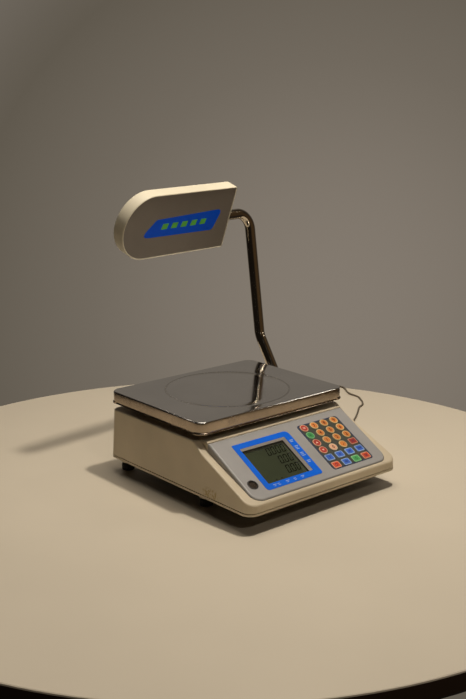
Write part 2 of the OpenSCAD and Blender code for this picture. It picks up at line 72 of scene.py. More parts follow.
# ---------------------------------------------------------------- camera and light
cam_data = bpy.data.cameras.new("photo_camera")
cam = bpy.data.objects.new("photo_camera", cam_data)
scene.collection.objects.link(cam)
right = Vector((0.762824387, -0.646600879, -0.002501596))
upv = Vector((0.161976609, 0.187342835, 0.968847893))
fwd = Vector((0.625989243, 0.739466000, -0.247643901))
m = Matrix.Identity(4)
for i in range(3):
    m[i][0], m[i][1], m[i][2] = right[i], upv[i], -fwd[i]
m.translation = W(-1100.950, -1314.884, 622.016)
cam.matrix_world = m
cam_data.sensor_width = 36.0
cam_data.lens = 56.812
cam_data.clip_start, cam_data.clip_end = 0.05, 50
scene.camera = cam
scene.view_settings.view_transform = "Standard"
scene.view_settings.look = "None"


def lin(r, g, b):
    """Linear colour from the usual 0 to 255 values."""
    f = lambda c: c / 12.92 if c <= 0.04045 else ((c + 0.055) / 1.055) ** 2.4
    return tuple(f(c / 255) for c in (r, g, b))


def area(name, aim, towards, dist, size, power, colour):
    """A soft light, dist metres from aim in the direction towards. size is its extent along X and along Y."""
    d = bpy.data.lights.new(name, "AREA")
    d.shape = "RECTANGLE"
    d.size, d.size_y = size
    d.energy, d.color = power, colour
    o = bpy.data.objects.new(name, d)
    scene.collection.objects.link(o)
    z = Vector(towards).normalized()
    x = (Vector((1, 0, 0)) - z.x * z).normalized()
    y = z.cross(x)
    m = Matrix.Identity(4)
    for k in range(3):
        m[k][0], m[k][1], m[k][2] = x[k], y[k], z[k]
    m.translation = Vector(aim) + z * dist
    o.matrix_world = m
    return o


WARM = (1.0, 0.90, 0.76)
area("lamp_key", (0, 0, 0.1), (0.141, -0.220, 1.278), 1.304, (0.07, 0.07), 8.8, WARM)
area("lamp_front_left", (0, 0, 0.1), (-0.42, -1.18, 1.0), 2.2, (0.12, 0.12), 3.0, WARM)
area("lamp_right", (0, 0, 0.1), (0.95, -0.32, 1.0), 2.2, (0.25, 0.25), 2.0, WARM)
area("lamp_rear", (0, 0, 0.05), (0.10, 0.75, 0.80), 2.4, (0.4, 0.3), 3.0, WARM)
area("lamp_over", (0, 0, 0.1), (0.02, 0.08, 1.0), 1.9, (0.9, 1.0), 10.0, WARM)

world = bpy.data.worlds.new("studio")
scene.world = world
world.use_nodes = True
wn = world.node_tree
wn.nodes.clear()
wo = wn.nodes.new("ShaderNodeOutputWorld")
wb = wn.nodes.new("ShaderNodeBackground")
wt = wn.nodes.new("ShaderNodeTexCoord")
# a grey wall, lightest behind the scale and darker all round
wd = wn.nodes.new("ShaderNodeVectorMath")
wd.operation = "DOT_PRODUCT"
wd.inputs[1].default_value = Vector((0.705, 0.690, -0.21)).normalized()
wr = wn.nodes.new("ShaderNodeValToRGB")
wn.links.new(wt.outputs["Generated"], wd.inputs[0])
wm = wn.nodes.new("ShaderNodeMapRange")
wm.inputs["From Min"].default_value, wm.inputs["From Max"].default_value = -1.0, 1.0
wn.links.new(wd.outputs["Value"], wm.inputs["Value"])
wn.links.new(wm.outputs[0], wr.inputs[0])
cr = wr.color_ramp
cr.elements[0].position, cr.elements[0].color = 0.0, (*lin(26, 22, 18), 1)
cr.elements[1].position, cr.elements[1].color = 1.0, (*lin(131, 122, 111), 1)
for pos, c in ((0.5, (22, 18, 15)), (0.75, (44, 38, 32)), (0.90, (113, 106, 97)), (0.955, (115, 108, 99)), (0.972, (95, 88, 77)), (0.99, (114, 106, 95))):
    e = cr.elements.new(pos)
    e.color = (*lin(*c), 1)
# two soft glows, low and high on the right of the camera, which the tube shows
last = wr.outputs[0]
for towards, near, far, tone in (((0.36, -0.92, 0.10), 0.60, 0.98, (66, 50, 30)), ((0.62, -0.40, 0.68), 0.90, 0.99, (70, 56, 38))):
    wg = wn.nodes.new("ShaderNodeVectorMath")
    wg.operation = "DOT_PRODUCT"
    wg.inputs[1].default_value = Vector(towards).normalized()
    wn.links.new(wt.outputs["Generated"], wg.inputs[0])
    wq = wn.nodes.new("ShaderNodeMapRange")
    wq.interpolation_type = "SMOOTHSTEP"
    wq.inputs["From Min"].default_value, wq.inputs["From Max"].default_value = near, far
    wn.links.new(wg.outputs["Value"], wq.inputs["Value"])
    wx = wn.nodes.new("ShaderNodeMix")
    wx.data_type, wx.blend_type = "RGBA", "ADD"
    wx.inputs[7].default_value = (*lin(*tone), 1)
    wn.links.new(wq.outputs["Result"], wx.inputs[0])
    wn.links.new(last, wx.inputs[6])
    last = wx.outputs[2]
wn.links.new(last, wb.inputs["Color"])
wb.inputs["Strength"].default_value = 1.0
wn.links.new(wb.outputs[0], wo.inputs[0])


# ---------------------------------------------------------------- materials
def base_mat(name):
    mat = bpy.data.materials.new(name)
    mat.use_nodes = True
    nt = mat.node_tree
    nt.nodes.clear()
    out = nt.nodes.new("ShaderNodeOutputMaterial")
    b = nt.nodes.new("ShaderNodeBsdfPrincipled")
    nt.links.new(b.outputs[0], out.inputs[0])
    tc = nt.nodes.new("ShaderNodeTexCoord")
    return mat, nt, b, tc


def noise(nt, tc, scale, detail=3.0, rough=0.5, vec=None):
    n = nt.nodes.new("ShaderNodeTexNoise")
    n.inputs["Scale"].default_value = scale
    n.inputs["Detail"].default_value = detail
    n.inputs["Roughness"].default_value = rough
    nt.links.new(vec or tc.outputs["Object"], n.inputs["Vector"])
    return n.outputs["Fac"]


def ramp(nt, fac, lo, hi, out_lo=0.0, out_hi=1.0):
    n = nt.nodes.new("ShaderNodeMapRange")
    n.interpolation_type = "SMOOTHSTEP"
    n.inputs["From Min"].default_value, n.inputs["From Max"].default_value = lo, hi
    n.inputs["To Min"].default_value, n.inputs["To Max"].default_value = out_lo, out_hi
    nt.links.new(fac, n.inputs["Value"])
    return n.outputs["Result"]


def mix(nt, fac, a, b):
    n = nt.nodes.new("ShaderNodeMix")
    n.data_type = "RGBA"
    if isinstance(fac, (int, float)):
        n.inputs[0].default_value = fac
    else:
        nt.links.new(fac, n.inputs[0])
    for i, c in ((6, a), (7, b)):
        if isinstance(c, tuple):
            n.inputs[i].default_value = (*c[:3], 1)
        else:
            nt.links.new(c, n.inputs[i])
    return n.outputs[2]


def maths(nt, op, a, b=None):
    n = nt.nodes.new("ShaderNodeMath")
    n.operation = op
    for i, v in enumerate((a, b)):
        if v is None:
            continue
        if isinstance(v, (int, float)):
            n.inputs[i].default_value = v
        else:
            nt.links.new(v, n.inputs[i])
    return n.outputs[0]


def bump(nt, b, height, strength, dist):
    n = nt.nodes.new("ShaderNodeBump")
    n.inputs["Strength"].default_value = strength
    n.inputs["Distance"].default_value = dist
    nt.links.new(height, n.inputs["Height"])
    nt.links.new(n.outputs[0], b.inputs["Normal"])


def scaled(c, k):
    return tuple(min(1.0, x * k) for x in c[:3])


def plastic(name, col, rough=0.45, var=0.07, grain=1400, grain_s=0.12, spec=0.5, stain=None, dust=0.0, under=None):
    """Moulded plastic: spark-eroded grain, slow tone changes, faint handling marks and dust on what faces up; under
    gives painted shade on what faces down.
    """
    mat, nt, b, tc = base_mat(name)
    tone = noise(nt, tc, 9, 4)
    c = mix(nt, ramp(nt, tone, 0.3, 0.7), scaled(col, 1 - var), scaled(col, 1 + var))
    spots = noise(nt, tc, 95, 5, 0.65)
    c = mix(nt, ramp(nt, spots, 0.62, 0.8, 0, 0.25), c, scaled(col, 0.72))
    if dust:
        geo = nt.nodes.new("ShaderNodeNewGeometry")
        sep = nt.nodes.new("ShaderNodeSeparateXYZ")
        nt.links.new(geo.outputs["Normal"], sep.inputs[0])
        d = maths(nt, "MULTIPLY", ramp(nt, sep.outputs["Z"], 0.3, 1.0), ramp(nt, noise(nt, tc, 60, 6, 0.7), 0.35, 0.75, 0, dust))
        c = mix(nt, d, c, (0.62, 0.58, 0.52))
    if under:
        # painted shade on what faces down, darkened so that the table under the body stays deep in shade
        geo = nt.nodes.new("ShaderNodeNewGeometry")
        sep = nt.nodes.new("ShaderNodeSeparateXYZ")
        nt.links.new(geo.outputs["Normal"], sep.inputs[0])
        low = ramp(nt, sep.outputs["Z"], -0.9, -0.6, 1, 0)
        c = mix(nt, maths(nt, "MULTIPLY", low, ramp(nt, noise(nt, tc, 30, 5, 0.6), 0.2, 0.6, 0.96, 1.0)), c, under)
    if stain:
        sub = nt.nodes.new("ShaderNodeVectorMath")
        sub.operation = "SUBTRACT"
        sub.inputs[1].default_value = stain
        nt.links.new(tc.outputs["Object"], sub.inputs[0])
        sc = nt.nodes.new("ShaderNodeVectorMath")
        sc.operation = "MULTIPLY"
        sc.inputs[1].default_value = (1.0, 0.42, 1.0)
        nt.links.new(sub.outputs[0], sc.inputs[0])
        ln = nt.nodes.new("ShaderNodeVectorMath")
        ln.operation = "LENGTH"
        nt.links.new(sc.outputs[0], ln.inputs[0])
        near = ramp(nt, ln.outputs["Value"], 0.002, 0.0115, 1, 0)
        patch = maths(nt, "MULTIPLY", near, ramp(nt, noise(nt, tc, 210, 6, 0.7), 0.44, 0.56))
        c = mix(nt, patch, c, lin(168, 140, 62))
    nt.links.new(c, b.inputs["Base Color"])
    r = noise(nt, tc, 40, 4)
    nt.links.new(ramp(nt, r, 0.3, 0.7, rough - 0.06, rough + 0.08), b.inputs["Roughness"])
    b.inputs["Specular IOR Level"].default_value = spec
    bump(nt, b, noise(nt, tc, grain, 2, 0.6), grain_s, 0.0002)
    return mat


def metal(name, col, rough=0.2, scale=(1, 1, 1), brush=60, brush_s=0.03, smudge=0.08, var=0.08):
    """Worked metal: fine lines along one direction, smudges that change the gloss, slight tone changes."""
    mat, nt, b, tc = base_mat(name)
    mp = nt.nodes.new("ShaderNodeMapping")
    mp.inputs["Scale"].default_value = scale
    nt.links.new(tc.outputs["Object"], mp.inputs["Vector"])
    lines = noise(nt, tc, brush, 4, 0.6, mp.outputs[0])
    tone = noise(nt, tc, 7, 4)
    c = mix(nt, ramp(nt, tone, 0.3, 0.7), scaled(col, 1 - var), scaled(col, 1 + var))
    nt.links.new(c, b.inputs["Base Color"])
    b.inputs["Metallic"].default_value = 1.0
    sm = noise(nt, tc, 26, 6, 0.62)
    r = maths(nt, "ADD", ramp(nt, sm, 0.42, 0.72, rough, rough + smudge), ramp(nt, lines, 0.35, 0.65, 0, 0.04))
    nt.links.new(r, b.inputs["Roughness"])
    bump(nt, b, lines, brush_s, 0.0001)
    return mat


def rubber(name, col, rough=0.65, grain=900):
    mat, nt, b, tc = base_mat(name)
    n = noise(nt, tc, 30, 5, 0.6)
    c = mix(nt, ramp(nt, n, 0.35, 0.7), scaled(col, 0.86), scaled(col, 1.18))
    nt.links.new(c, b.inputs["Base Color"])
    nt.links.new(ramp(nt, noise(nt, tc, 120, 3), 0.3, 0.7, rough - 0.08, rough + 0.1), b.inputs["Roughness"])
    bump(nt, b, noise(nt, tc, grain, 3, 0.6), 0.2, 0.0002)
    return mat


def clear(name, tint, gloss=0.06):
    """A thin clear cover: what is behind shows, with reflections that grow towards grazing angles."""
    mat = bpy.data.materials.new(name)
    mat.use_nodes = True
    nt = mat.node_tree
    nt.nodes.clear()
    out = nt.nodes.new("ShaderNodeOutputMaterial")
    mx = nt.nodes.new("ShaderNodeMixShader")
    tr = nt.nodes.new("ShaderNodeBsdfTransparent")
    gl = nt.nodes.new("ShaderNodeBsdfPrincipled")
    tc = nt.nodes.new("ShaderNodeTexCoord")
    fr = nt.nodes.new("ShaderNodeLayerWeight")
    fr.inputs["Blend"].default_value = 0.5
    tr.inputs["Color"].default_value = (*tint, 1)
    sm = noise(nt, tc, 60, 5, 0.6)
    nt.links.new(mix(nt, ramp(nt, sm, 0.3, 0.7), (0.75, 0.75, 0.73), (0.9, 0.9, 0.88)), gl.inputs["Base Color"])
    nt.links.new(ramp(nt, sm, 0.45, 0.8, gloss, gloss + 0.03), gl.inputs["Roughness"])
    gl.inputs["Metallic"].default_value = 1.0
    f5 = maths(nt, "POWER", fr.outputs["Facing"], 4.0)
    nt.links.new(maths(nt, "ADD", maths(nt, "MULTIPLY", f5, 0.8), 0.022), mx.inputs[0])
    nt.links.new(tr.outputs[0], mx.inputs[1])
    nt.links.new(gl.outputs[0], mx.inputs[2])
    nt.links.new(mx.outputs[0], out.inputs[0])
    return mat


def smoked(name, col, tint, share=0.6):
    """A dark see-through cover: part of the light goes through it tinted, the rest shows its own colour."""
    mat, nt, b, tc = base_mat(name)
    out = [n for n in nt.nodes if n.type == "OUTPUT_MATERIAL"][0]
    n = noise(nt, tc, 200, 4, 0.6)
    nt.links.new(mix(nt, ramp(nt, n, 0.3, 0.7), scaled(col, 0.85), scaled(col, 1.15)), b.inputs["Base Color"])
    nt.links.new(ramp(nt, noise(nt, tc, 120, 4), 0.35, 0.75, 0.2, 0.32), b.inputs["Roughness"])
    tr = nt.nodes.new("ShaderNodeBsdfTransparent")
    tr.inputs["Color"].default_value = (*tint, 1)
    mx = nt.nodes.new("ShaderNodeMixShader")
    mx.inputs[0].default_value = share
    nt.links.new(tr.outputs[0], mx.inputs[1])
    nt.links.new(b.outputs[0], mx.inputs[2])
    nt.links.new(mx.outputs[0], out.inputs[0])
    return mat


def glass(name, col, alpha_rough=0.03, transmission=1.0):
    mat, nt, b, tc = base_mat(name)
    sm = noise(nt, tc, 55, 6, 0.6)
    nt.links.new(mix(nt, ramp(nt, sm, 0.3, 0.7), scaled(col, 0.97), col), b.inputs["Base Color"])
    nt.links.new(ramp(nt, sm, 0.5, 0.8, alpha_rough, alpha_rough + 0.09), b.inputs["Roughness"])
    b.inputs["Transmission Weight"].default_value = transmission
    b.inputs["IOR"].default_value = 1.47
    return mat


def printed(name, col, rough=0.3, var=0.05, coat=0.25, spec=0.5):
    """Screen print under a clear film."""
    mat, nt, b, tc = base_mat(name)
    n = noise(nt, tc, 22, 5, 0.6)
    nt.links.new(mix(nt, ramp(nt, n, 0.3, 0.7), scaled(col, 1 - var), scaled(col, 1 + var)), b.inputs["Base Color"])
    nt.links.new(ramp(nt, noise(nt, tc, 70, 5, 0.6), 0.35, 0.75, rough - 0.04, rough + 0.1), b.inputs["Roughness"])
    b.inputs["Coat Weight"].default_value = coat
    b.inputs["Specular IOR Level"].default_value = spec
    b.inputs["Coat Roughness"].default_value = 0.12
    bump(nt, b, noise(nt, tc, 1100, 2), 0.05, 0.0001)
    return mat


CREAM = lin(214, 200, 174)
M = {}
M["casing"] = plastic("casing_abs", CREAM, 0.42, stain=tuple(W(-155, -145, 20)), dust=0.18)
# the tray's downward faces get painted shade (under)
M["tray"] = plastic("tray_abs", lin(206, 194, 170), 0.5, under=lin(70, 66, 60))
M["console"] = plastic("console_abs", lin(164, 163, 164), 0.38, var=0.05, dust=0.1)
# the display well's walls: paler than the console and glowing faintly, painted light for the brightness these walls
# catch
M["well"] = plastic("well_wall_painted_light", lin(232, 222, 214), 0.45, var=0.03)
for q in M["well"].node_tree.nodes:
    if q.type == "BSDF_PRINCIPLED":
        q.inputs["Emission Color"].default_value = (*lin(220, 205, 190), 1)
        q.inputs["Emission Strength"].default_value = 0.17
M["head_shell"] = plastic("head_shell_abs", lin(232, 224, 202), 0.4, var=0.05)
M["head_face"] = plastic("head_face_abs", lin(128, 120, 112), 0.35, var=0.05)
M["blue"] = printed("overlay_print", lin(0, 108, 244), 0.45, coat=0.0, spec=0.15)
M["mark"] = printed("overlay_marks", lin(150, 180, 244), 0.35)
M["badge"] = printed("band_print", lin(0, 92, 250), 0.45, coat=0.0, spec=0.12)
M["badge_mark"] = printed("band_marks", lin(104, 206, 84), 0.4, coat=0.0, spec=0.2)
M["film"] = printed("keypad_border", lin(44, 58, 92), 0.35)
M["ground"] = printed("keypad_ground", lin(70, 74, 66), 0.4, var=0.12)
M["lcd"] = printed("lcd_ground", lin(68, 74, 56), 0.45, var=0.06, coat=0.0, spec=0.1)
M["lcd_ink"] = printed("lcd_segments", lin(4, 4, 3), 0.6, coat=0.0, spec=0.05)
M["lcd_frame"] = plastic("lcd_bezel", lin(16, 16, 16), 0.5)
M["window"] = clear("display_window", (0.97, 0.98, 0.97), 0.03)
M["bubble"] = glass("level_bubble", (0.75, 0.8, 0.6), 0.03, 0.9)
M["vial"] = glass("level_fluid", (0.42, 0.5, 0.2), 0.05, 0.7)
M["black"] = plastic("black_abs", lin(30, 28, 26), 0.4, grain=1000)
M["smoke"] = smoked("level_cover_smoke", lin(84, 74, 64), (0.35, 0.33, 0.26))
M["nylon"] = plastic("clamp_nylon", lin(120, 116, 108), 0.5)
M["rubber"] = rubber("foot_rubber", lin(34, 31, 28))
M["grey_rubber"] = rubber("mat_rubber", lin(110, 110, 108))
M["lead"] = rubber("lead_pvc", lin(112, 102, 88), 0.42, 500)
M["pan"] = metal("pan_steel", (0.80, 0.79, 0.78), 0.07, (1, 14, 1), 120, 0.015, 0.05, 0.05)
M["pan_groove"] = metal("pan_steel_groove", (0.62, 0.60, 0.58), 0.22, (1, 1, 1), 300, 0.03, 0.05, 0.05)
# the skirt's darker, brown steel colour is painted shade and a painted warm reflection of the table; the steel is the
# same as the pan's top
M["pan_side"] = metal("pan_steel_skirt_painted_shade", (0.44, 0.36, 0.28), 0.16, (1, 1, 12), 140, 0.06, 0.14, 0.2)
M["tube"] = metal("tube_steel", (0.62, 0.56, 0.47), 0.05, (6, 6, 1), 90, 0.015, 0.05)
M["screw"] = metal("screw_steel", (0.6, 0.6, 0.6), 0.28, (1, 1, 8), 200, 0.05)
M["cast"] = metal("cast_alloy", (0.52, 0.52, 0.53), 0.42, (1, 1, 1), 500, 0.25, 0.12)
M["cell"] = metal("milled_alloy", (0.66, 0.66, 0.68), 0.3, (1, 20, 1), 60, 0.06)
M["board"] = printed("board_mask", lin(24, 92, 44), 0.35, var=0.2)
M["battery"] = plastic("battery_case", lin(52, 54, 60), 0.5)
M["nickel"] = metal("pin_nickel", (0.72, 0.70, 0.66), 0.14, (1, 1, 4), 150, 0.02)
M["adapter"] = plastic("adapter_case", lin(26, 26, 27), 0.42, grain=1100, grain_s=0.3)
M["ink"] = printed("legend_ink", lin(74, 20, 8), 0.4, coat=0.0, spec=0.2)
M["ink_dark"] = printed("legend_ink_dark", lin(16, 26, 74), 0.4, coat=0.0)
M["ink_light"] = printed("legend_ink_light", lin(244, 214, 196), 0.4, coat=0.0)
M["ink_green"] = printed("legend_ink_green", lin(18, 92, 40), 0.4, coat=0.0)
KEYCOL = {
    "key_red": (lin(190, 52, 38), lin(224, 168, 138), "ink_light"),
    "key_orange": (lin(226, 136, 62), lin(226, 198, 142), "ink"),
    "key_green": (lin(70, 168, 92), lin(138, 206, 146), "ink_green"),
    "key_blue": (lin(52, 104, 214), lin(150, 182, 232), "ink_dark"),
    "key_cream": (lin(232, 176, 142), lin(234, 208, 178), "ink"),
    "key_dark_red": (lin(166, 44, 34), lin(216, 150, 122), "ink_dark"),
    "key_vermilion": (lin(214, 74, 34), lin(228, 160, 130), "ink_dark"),
}
for k, (c, edge, _) in KEYCOL.items():
    M[k] = rubber(k + "_silicone", c, 0.42, 700)
    M[k + "_edge"] = rubber(k + "_edge_silicone", edge, 0.45, 700)


# ---------------------------------------------------------------- mesh tools
def arc(cx, cy, r, a0, a1, n):
    return [(cx + r * math.cos(math.radians(a0 + (a1 - a0) * i / n)), cy + r * math.sin(math.radians(a0 + (a1 - a0) * i / n))) for i in range(n + 1)]


def rrect(x0, x1, y0, y1, r, e=0.0, n=8):
    """Rounded rectangle, anticlockwise from its left edge, moved in by e. r is one radius or (lower left, lower right, upper right, upper left)."""
    rs = r if isinstance(r, tuple) else (r,) * 4
    a, b, c, d = [max(q - e, 0.02) for q in rs]
    x0, x1, y0, y1 = x0 + e, x1 - e, y0 + e, y1 - e
    return arc(x0 + a, y0 + a, a, 180, 270, n) + arc(x1 - b, y0 + b, b, 270, 360, n) + arc(x1 - c, y1 - c, c, 0, 90, n) + arc(x0 + d, y1 - d, d, 90, 180, n)


def circle(cx, cy, r, n=48):
    return [(cx + r * math.cos(2 * math.pi * i / n), cy + r * math.sin(2 * math.pi * i / n)) for i in range(n)]


class Builder:
    def __init__(self):
        self.v, self.f, self.mi = [], [], []

    def add(self, verts, faces, mat=0):
        k = len(self.v)
        self.v += [tuple(p) for p in verts]
        self.f += [[i + k for i in f] for f in faces]
        self.mi += [mat] * len(faces)
        return k

    def loft(self, rings, mat=0, closed=True):
        """Quads between rings of the same number of points. mat is one index, or one for each band."""
        n = len(rings[0])
        for j in range(len(rings) - 1):
            mt = mat[j] if isinstance(mat, (list, tuple)) else mat
            faces = []
            for i in range(n if closed else n - 1):
                a, b = i, (i + 1) % n
                faces.append([a, b, n + b, n + a])
            self.add(list(rings[j]) + list(rings[j + 1]), faces, mt)

    def cap(self, loops, flip=False, mat=0):
        """Flat face between an outer loop and any inner loops."""
        tris = tessellate_polygon([[Vector(p) for p in lp] for lp in loops])
        pts = [p for lp in loops for p in lp]
        a, b, c = [Vector(pts[i]) for i in tris[0]]
        self.add(pts, [list(t[::-1]) if flip else list(t) for t in tris], mat)

    def fan(self, ring, flip=False, mat=0):
        n = len(ring)
        c = sum((Vector(p) for p in ring), Vector()) / n
        faces = [[i, (i + 1) % n, n] for i in range(n)]
        self.add(list(ring) + [c], [f[::-1] if flip else f for f in faces], mat)

    def obj(self, name, mats, body, replaces=(), slot=None, sharp=32, weighted=True, solid=None, closed=True, merge=1e-6):
        me = bpy.data.meshes.new(name)
        me.from_pydata(self.v, [], self.f)
        for i, k in enumerate(self.mi):
            me.polygons[i].material_index = k
        import bmesh
        bm = bmesh.new()
        bm.from_mesh(me)
        bmesh.ops.remove_doubles(bm, verts=bm.verts, dist=merge)
        bmesh.ops.dissolve_degenerate(bm, dist=1e-7, edges=bm.edges)
        bmesh.ops.recalc_face_normals(bm, faces=bm.faces)
        bm.to_mesh(me)
        bm.free()
        me.shade_smooth()
        me.set_sharp_from_angle(angle=math.radians(sharp))
        for mt in mats:
            me.materials.append(M[mt] if isinstance(mt, str) else mt)
        o = bpy.data.objects.new(name, me)
        scene.collection.objects.link(o)
        if solid:
            s = o.modifiers.new("thickness", "SOLIDIFY")
            s.thickness, s.offset = solid * MM, -1
            s.use_rim = True
        if weighted:
            wnm = o.modifiers.new("normals", "WEIGHTED_NORMAL")
            wnm.keep_sharp = True
            wnm.weight = 60
        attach(o, body)
        if replaces:
            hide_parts(*replaces)
        return o


def plate(b, outer, levels, holes, at, mat_top=0, mat_side=0, mat_bottom=0, mat_holes=None):
    """A plate in one flat frame. outer(e) is its outline moved in by e, levels are (e, h) up to the top face and hole entries are (outline(grow), levels from the top face down).
    The last level of levels is the top; the first is the bottom."""
    rings = [[at(x, y, h) for x, y in outer(e)] for e, h in levels]
    b.loft(rings, mat_side)
    top = [[at(x, y, levels[-1][1]) for x, y in outer(levels[-1][0])]]
    bottom = [[at(x, y, levels[0][1]) for x, y in outer(levels[0][0])]]
    for k, (fn, lv) in enumerate(holes):
        hr = [[at(x, y, h) for x, y in fn(g)] for g, h in lv]
        b.loft(hr, mat_holes[k] if mat_holes else mat_side)
        top.append(hr[0])
        bottom.append(hr[-1])
    b.cap(top, mat=mat_top)
    b.cap(bottom, flip=True, mat=mat_bottom)


def fillet(e0, h0, r, n=5, down=False):
    """(e, h) steps round an outer edge of radius r that ends on the face at h0, whose outline starts at e0."""
    out = []
    for i in range(n + 1):
        a = math.pi / 2 * i / n
        out.append((e0 + r * (1 - math.cos(a)), h0 - r + r * math.sin(a)))
    return out[::-1] if down else out


def catmull(pts, x):
    """Smooth curve through points given in order of falling x."""
    for i in range(len(pts) - 1):
        x0, x1 = pts[i][0], pts[i + 1][0]
        if x0 >= x >= x1:
            t = (x - x0) / (x1 - x0)
            p0, p1, p2, p3 = pts[max(i - 1, 0)], pts[i], pts[i + 1], pts[min(i + 2, len(pts) - 1)]
            m1 = (p2[1] - p0[1]) / (p2[0] - p0[0]) * (x1 - x0)
            m2 = (p3[1] - p1[1]) / (p3[0] - p1[0]) * (x1 - x0)
            return (2 * t**3 - 3 * t**2 + 1) * p1[1] + (t**3 - 2 * t**2 + t) * m1 + (-2 * t**3 + 3 * t**2) * p2[1] + (t**3 - t**2) * m2
    return pts[0][1] if x > pts[0][0] else pts[-1][1]


def smooth(t):
    t = max(0.0, min(1.0, t))
    return t * t * (3 - 2 * t)


# ---------------------------------------------------------------- floor
# a round pale top, as wide as the camera's view shows
fv, ff = [], []
FC, FR, NF = (-67.9, -56.4), 612.4, 180
for r, z in ((FR - 24, -30), (FR - 2, -28), (FR, -24), (FR, -2.2), (FR - 0.7, -0.7), (FR - 2.2, 0)):
    fv += [T(FC[0] + r * math.cos(2 * math.pi * i / NF), FC[1] + r * math.sin(2 * math.pi * i / NF), z) for i in range(NF)]
for k in range(5):
    ff += [[k * NF + i, k * NF + (i + 1) % NF, (k + 1) * NF + (i + 1) % NF, (k + 1) * NF + i] for i in range(NF)]
ff += [[5 * NF + i for i in range(NF)], [i for i in reversed(range(NF))]]
fb = bpy.data.meshes.new("studio_floor")
fb.from_pydata(fv, [], ff)
floor = bpy.data.objects.new("studio_floor", fb)
scene.collection.objects.link(floor)
mat, nt, b, tc = base_mat("floor_pale")
fc = lin(226, 216, 198)
nt.links.new(mix(nt, ramp(nt, noise(nt, tc, 3, 3), 0.3, 0.7), scaled(fc, 0.97), scaled(fc, 1.02)), b.inputs["Base Color"])
b.inputs["Roughness"].default_value = 0.5
b.inputs["Specular IOR Level"].default_value = 0.3
fb.materials.append(mat)
rim, nt, b, tc = base_mat("floor_rim")
nt.links.new(mix(nt, ramp(nt, noise(nt, tc, 12, 3), 0.3, 0.7), lin(60, 46, 36), lin(70, 54, 42)), b.inputs["Base Color"])
b.inputs["Roughness"].default_value = 0.5
fb.materials.append(rim)
for i, f in enumerate(fb.polygons):
    f.material_index = 1 if i < 3 * NF or i == 5 * NF + 1 else 0

# ---------------------------------------------------------------- adapter lead
LEAD_D = 3.4
route = [(194, -30, 43), (206, -30, 42.4), (220, -28, 37.5), (235, -24, 29), (250, -18, 19),
         (265, -11, 10), (280, -3, 4), (296, 7, 1.8), (313, 19, 1.7), (334, 34, 1.7),
         (358, 50, 1.7), (382, 68, 1.7), (406, 87, 1.7), (422, 93.7, 1.7), (435.3, 106, 1.7),
         (445.6, 120.4, 1.7), (454.9, 135.9, 1.7), (456.9, 149.3, 1.7), (457.9, 161.6, 1.7), (464, 175, 1.7),
         (473, 188.4, 1.7), (479.5, 199.7, 1.7), (480.9, 210.5, 1.7), (476, 219.8, 1.7), (465, 223.5, 1.7),
         (451, 222, 1.7), (437, 218, 1.7), (423, 214, 1.7), (407, 212, 1.7), (392, 211, 1.7),
         (378, 211, 1.7)]


def cr_chain(pts, per):
    out = []
    n = len(pts)
    for i in range(n - 1):
        p = [Vector(pts[max(0, min(n - 1, k))]) for k in (i - 1, i, i + 1, i + 2)]
        for j in range(per):
            t = j / per
            out.append(0.5 * (2 * p[1] + (p[2] - p[0]) * t + (2 * p[0] - 5 * p[1] + 4 * p[2] - p[3]) * t * t + (3 * p[1] - p[0] - 3 * p[2] + p[3]) * t**3))
    out.append(Vector(pts[-1]))
    return out


def length(pts):
    return sum((pts[i + 1] - pts[i]).length for i in range(len(pts) - 1))


CC = Vector((363, 192, 0))
lead_pts = [p for p in cr_chain(route, 4) if not (p.x < 385 and p.y > 202)]
# the slots that the turns fill, radius from the coil's centre and height: out, in, and out again
slots = [(23.3, 1.7), (19.9, 1.7), (16.5, 1.7), (16.5, 5.1), (19.9, 5.1), (23.3, 5.1), (23.3, 8.5), (19.9, 8.5)]
coil_pts = []
PER = 48
A0 = math.radians(66)
TURNS = 7.08
for i in range(int(TURNS * PER) + 1):
    q = i / PER
    k = min(int(q), len(slots) - 2)
    # each turn steps to the next slot in a different place, so that neighbours keep apart
    s_ = smooth((q - k - 0.72) / 0.28)
    (r0, z0), (r1, z1) = slots[k], slots[k + 1]
    a = A0 + 2 * math.pi * q
    rr = r0 + (r1 - r0) * s_
    coil_pts.append(CC + Vector((rr * math.cos(a), rr * math.sin(a), z0 + (z1 - z0) * s_)))
tail = cr_chain([coil_pts[-2], coil_pts[-1], (357.5, 211, 8.1), (353.5, 211, 7.2), (349.5, 211, 6.5), (345.5, 211, 6.3), (338, 211, 6.3), (326, 211, 6.3), (309, 211, 6.3), (291, 211, 6.3)], 4)[5:]
join = cr_chain([lead_pts[-2], lead_pts[-1], (379.0, 211.2, 1.7), coil_pts[0], coil_pts[1]], 4)[5:-5]
all_pts = lead_pts + join + coil_pts + tail


def curve_piece(name, pts, r, mat, body, repl=()):
    cu = bpy.data.curves.new(name, "CURVE")
    cu.dimensions = "3D"
    cu.bevel_depth, cu.bevel_resolution, cu.use_fill_caps = r * MM, 5, True
    sp = cu.splines.new("POLY")
    sp.points.add(len(pts) - 1)
    for q, p in zip(sp.points, pts):
        q.co = (*T(p[0], p[1], p[2]), 1)
    sp.use_smooth = True
    cu.materials.append(M[mat])
    o = bpy.data.objects.new(name, cu)
    scene.collection.objects.link(o)
    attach(o, body)
    if repl:
        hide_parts(*repl)
    return o


lead = curve_piece("power_lead", all_pts, LEAD_D / 2, "lead", BODY, ("adapter_lead", "lead_coil"))

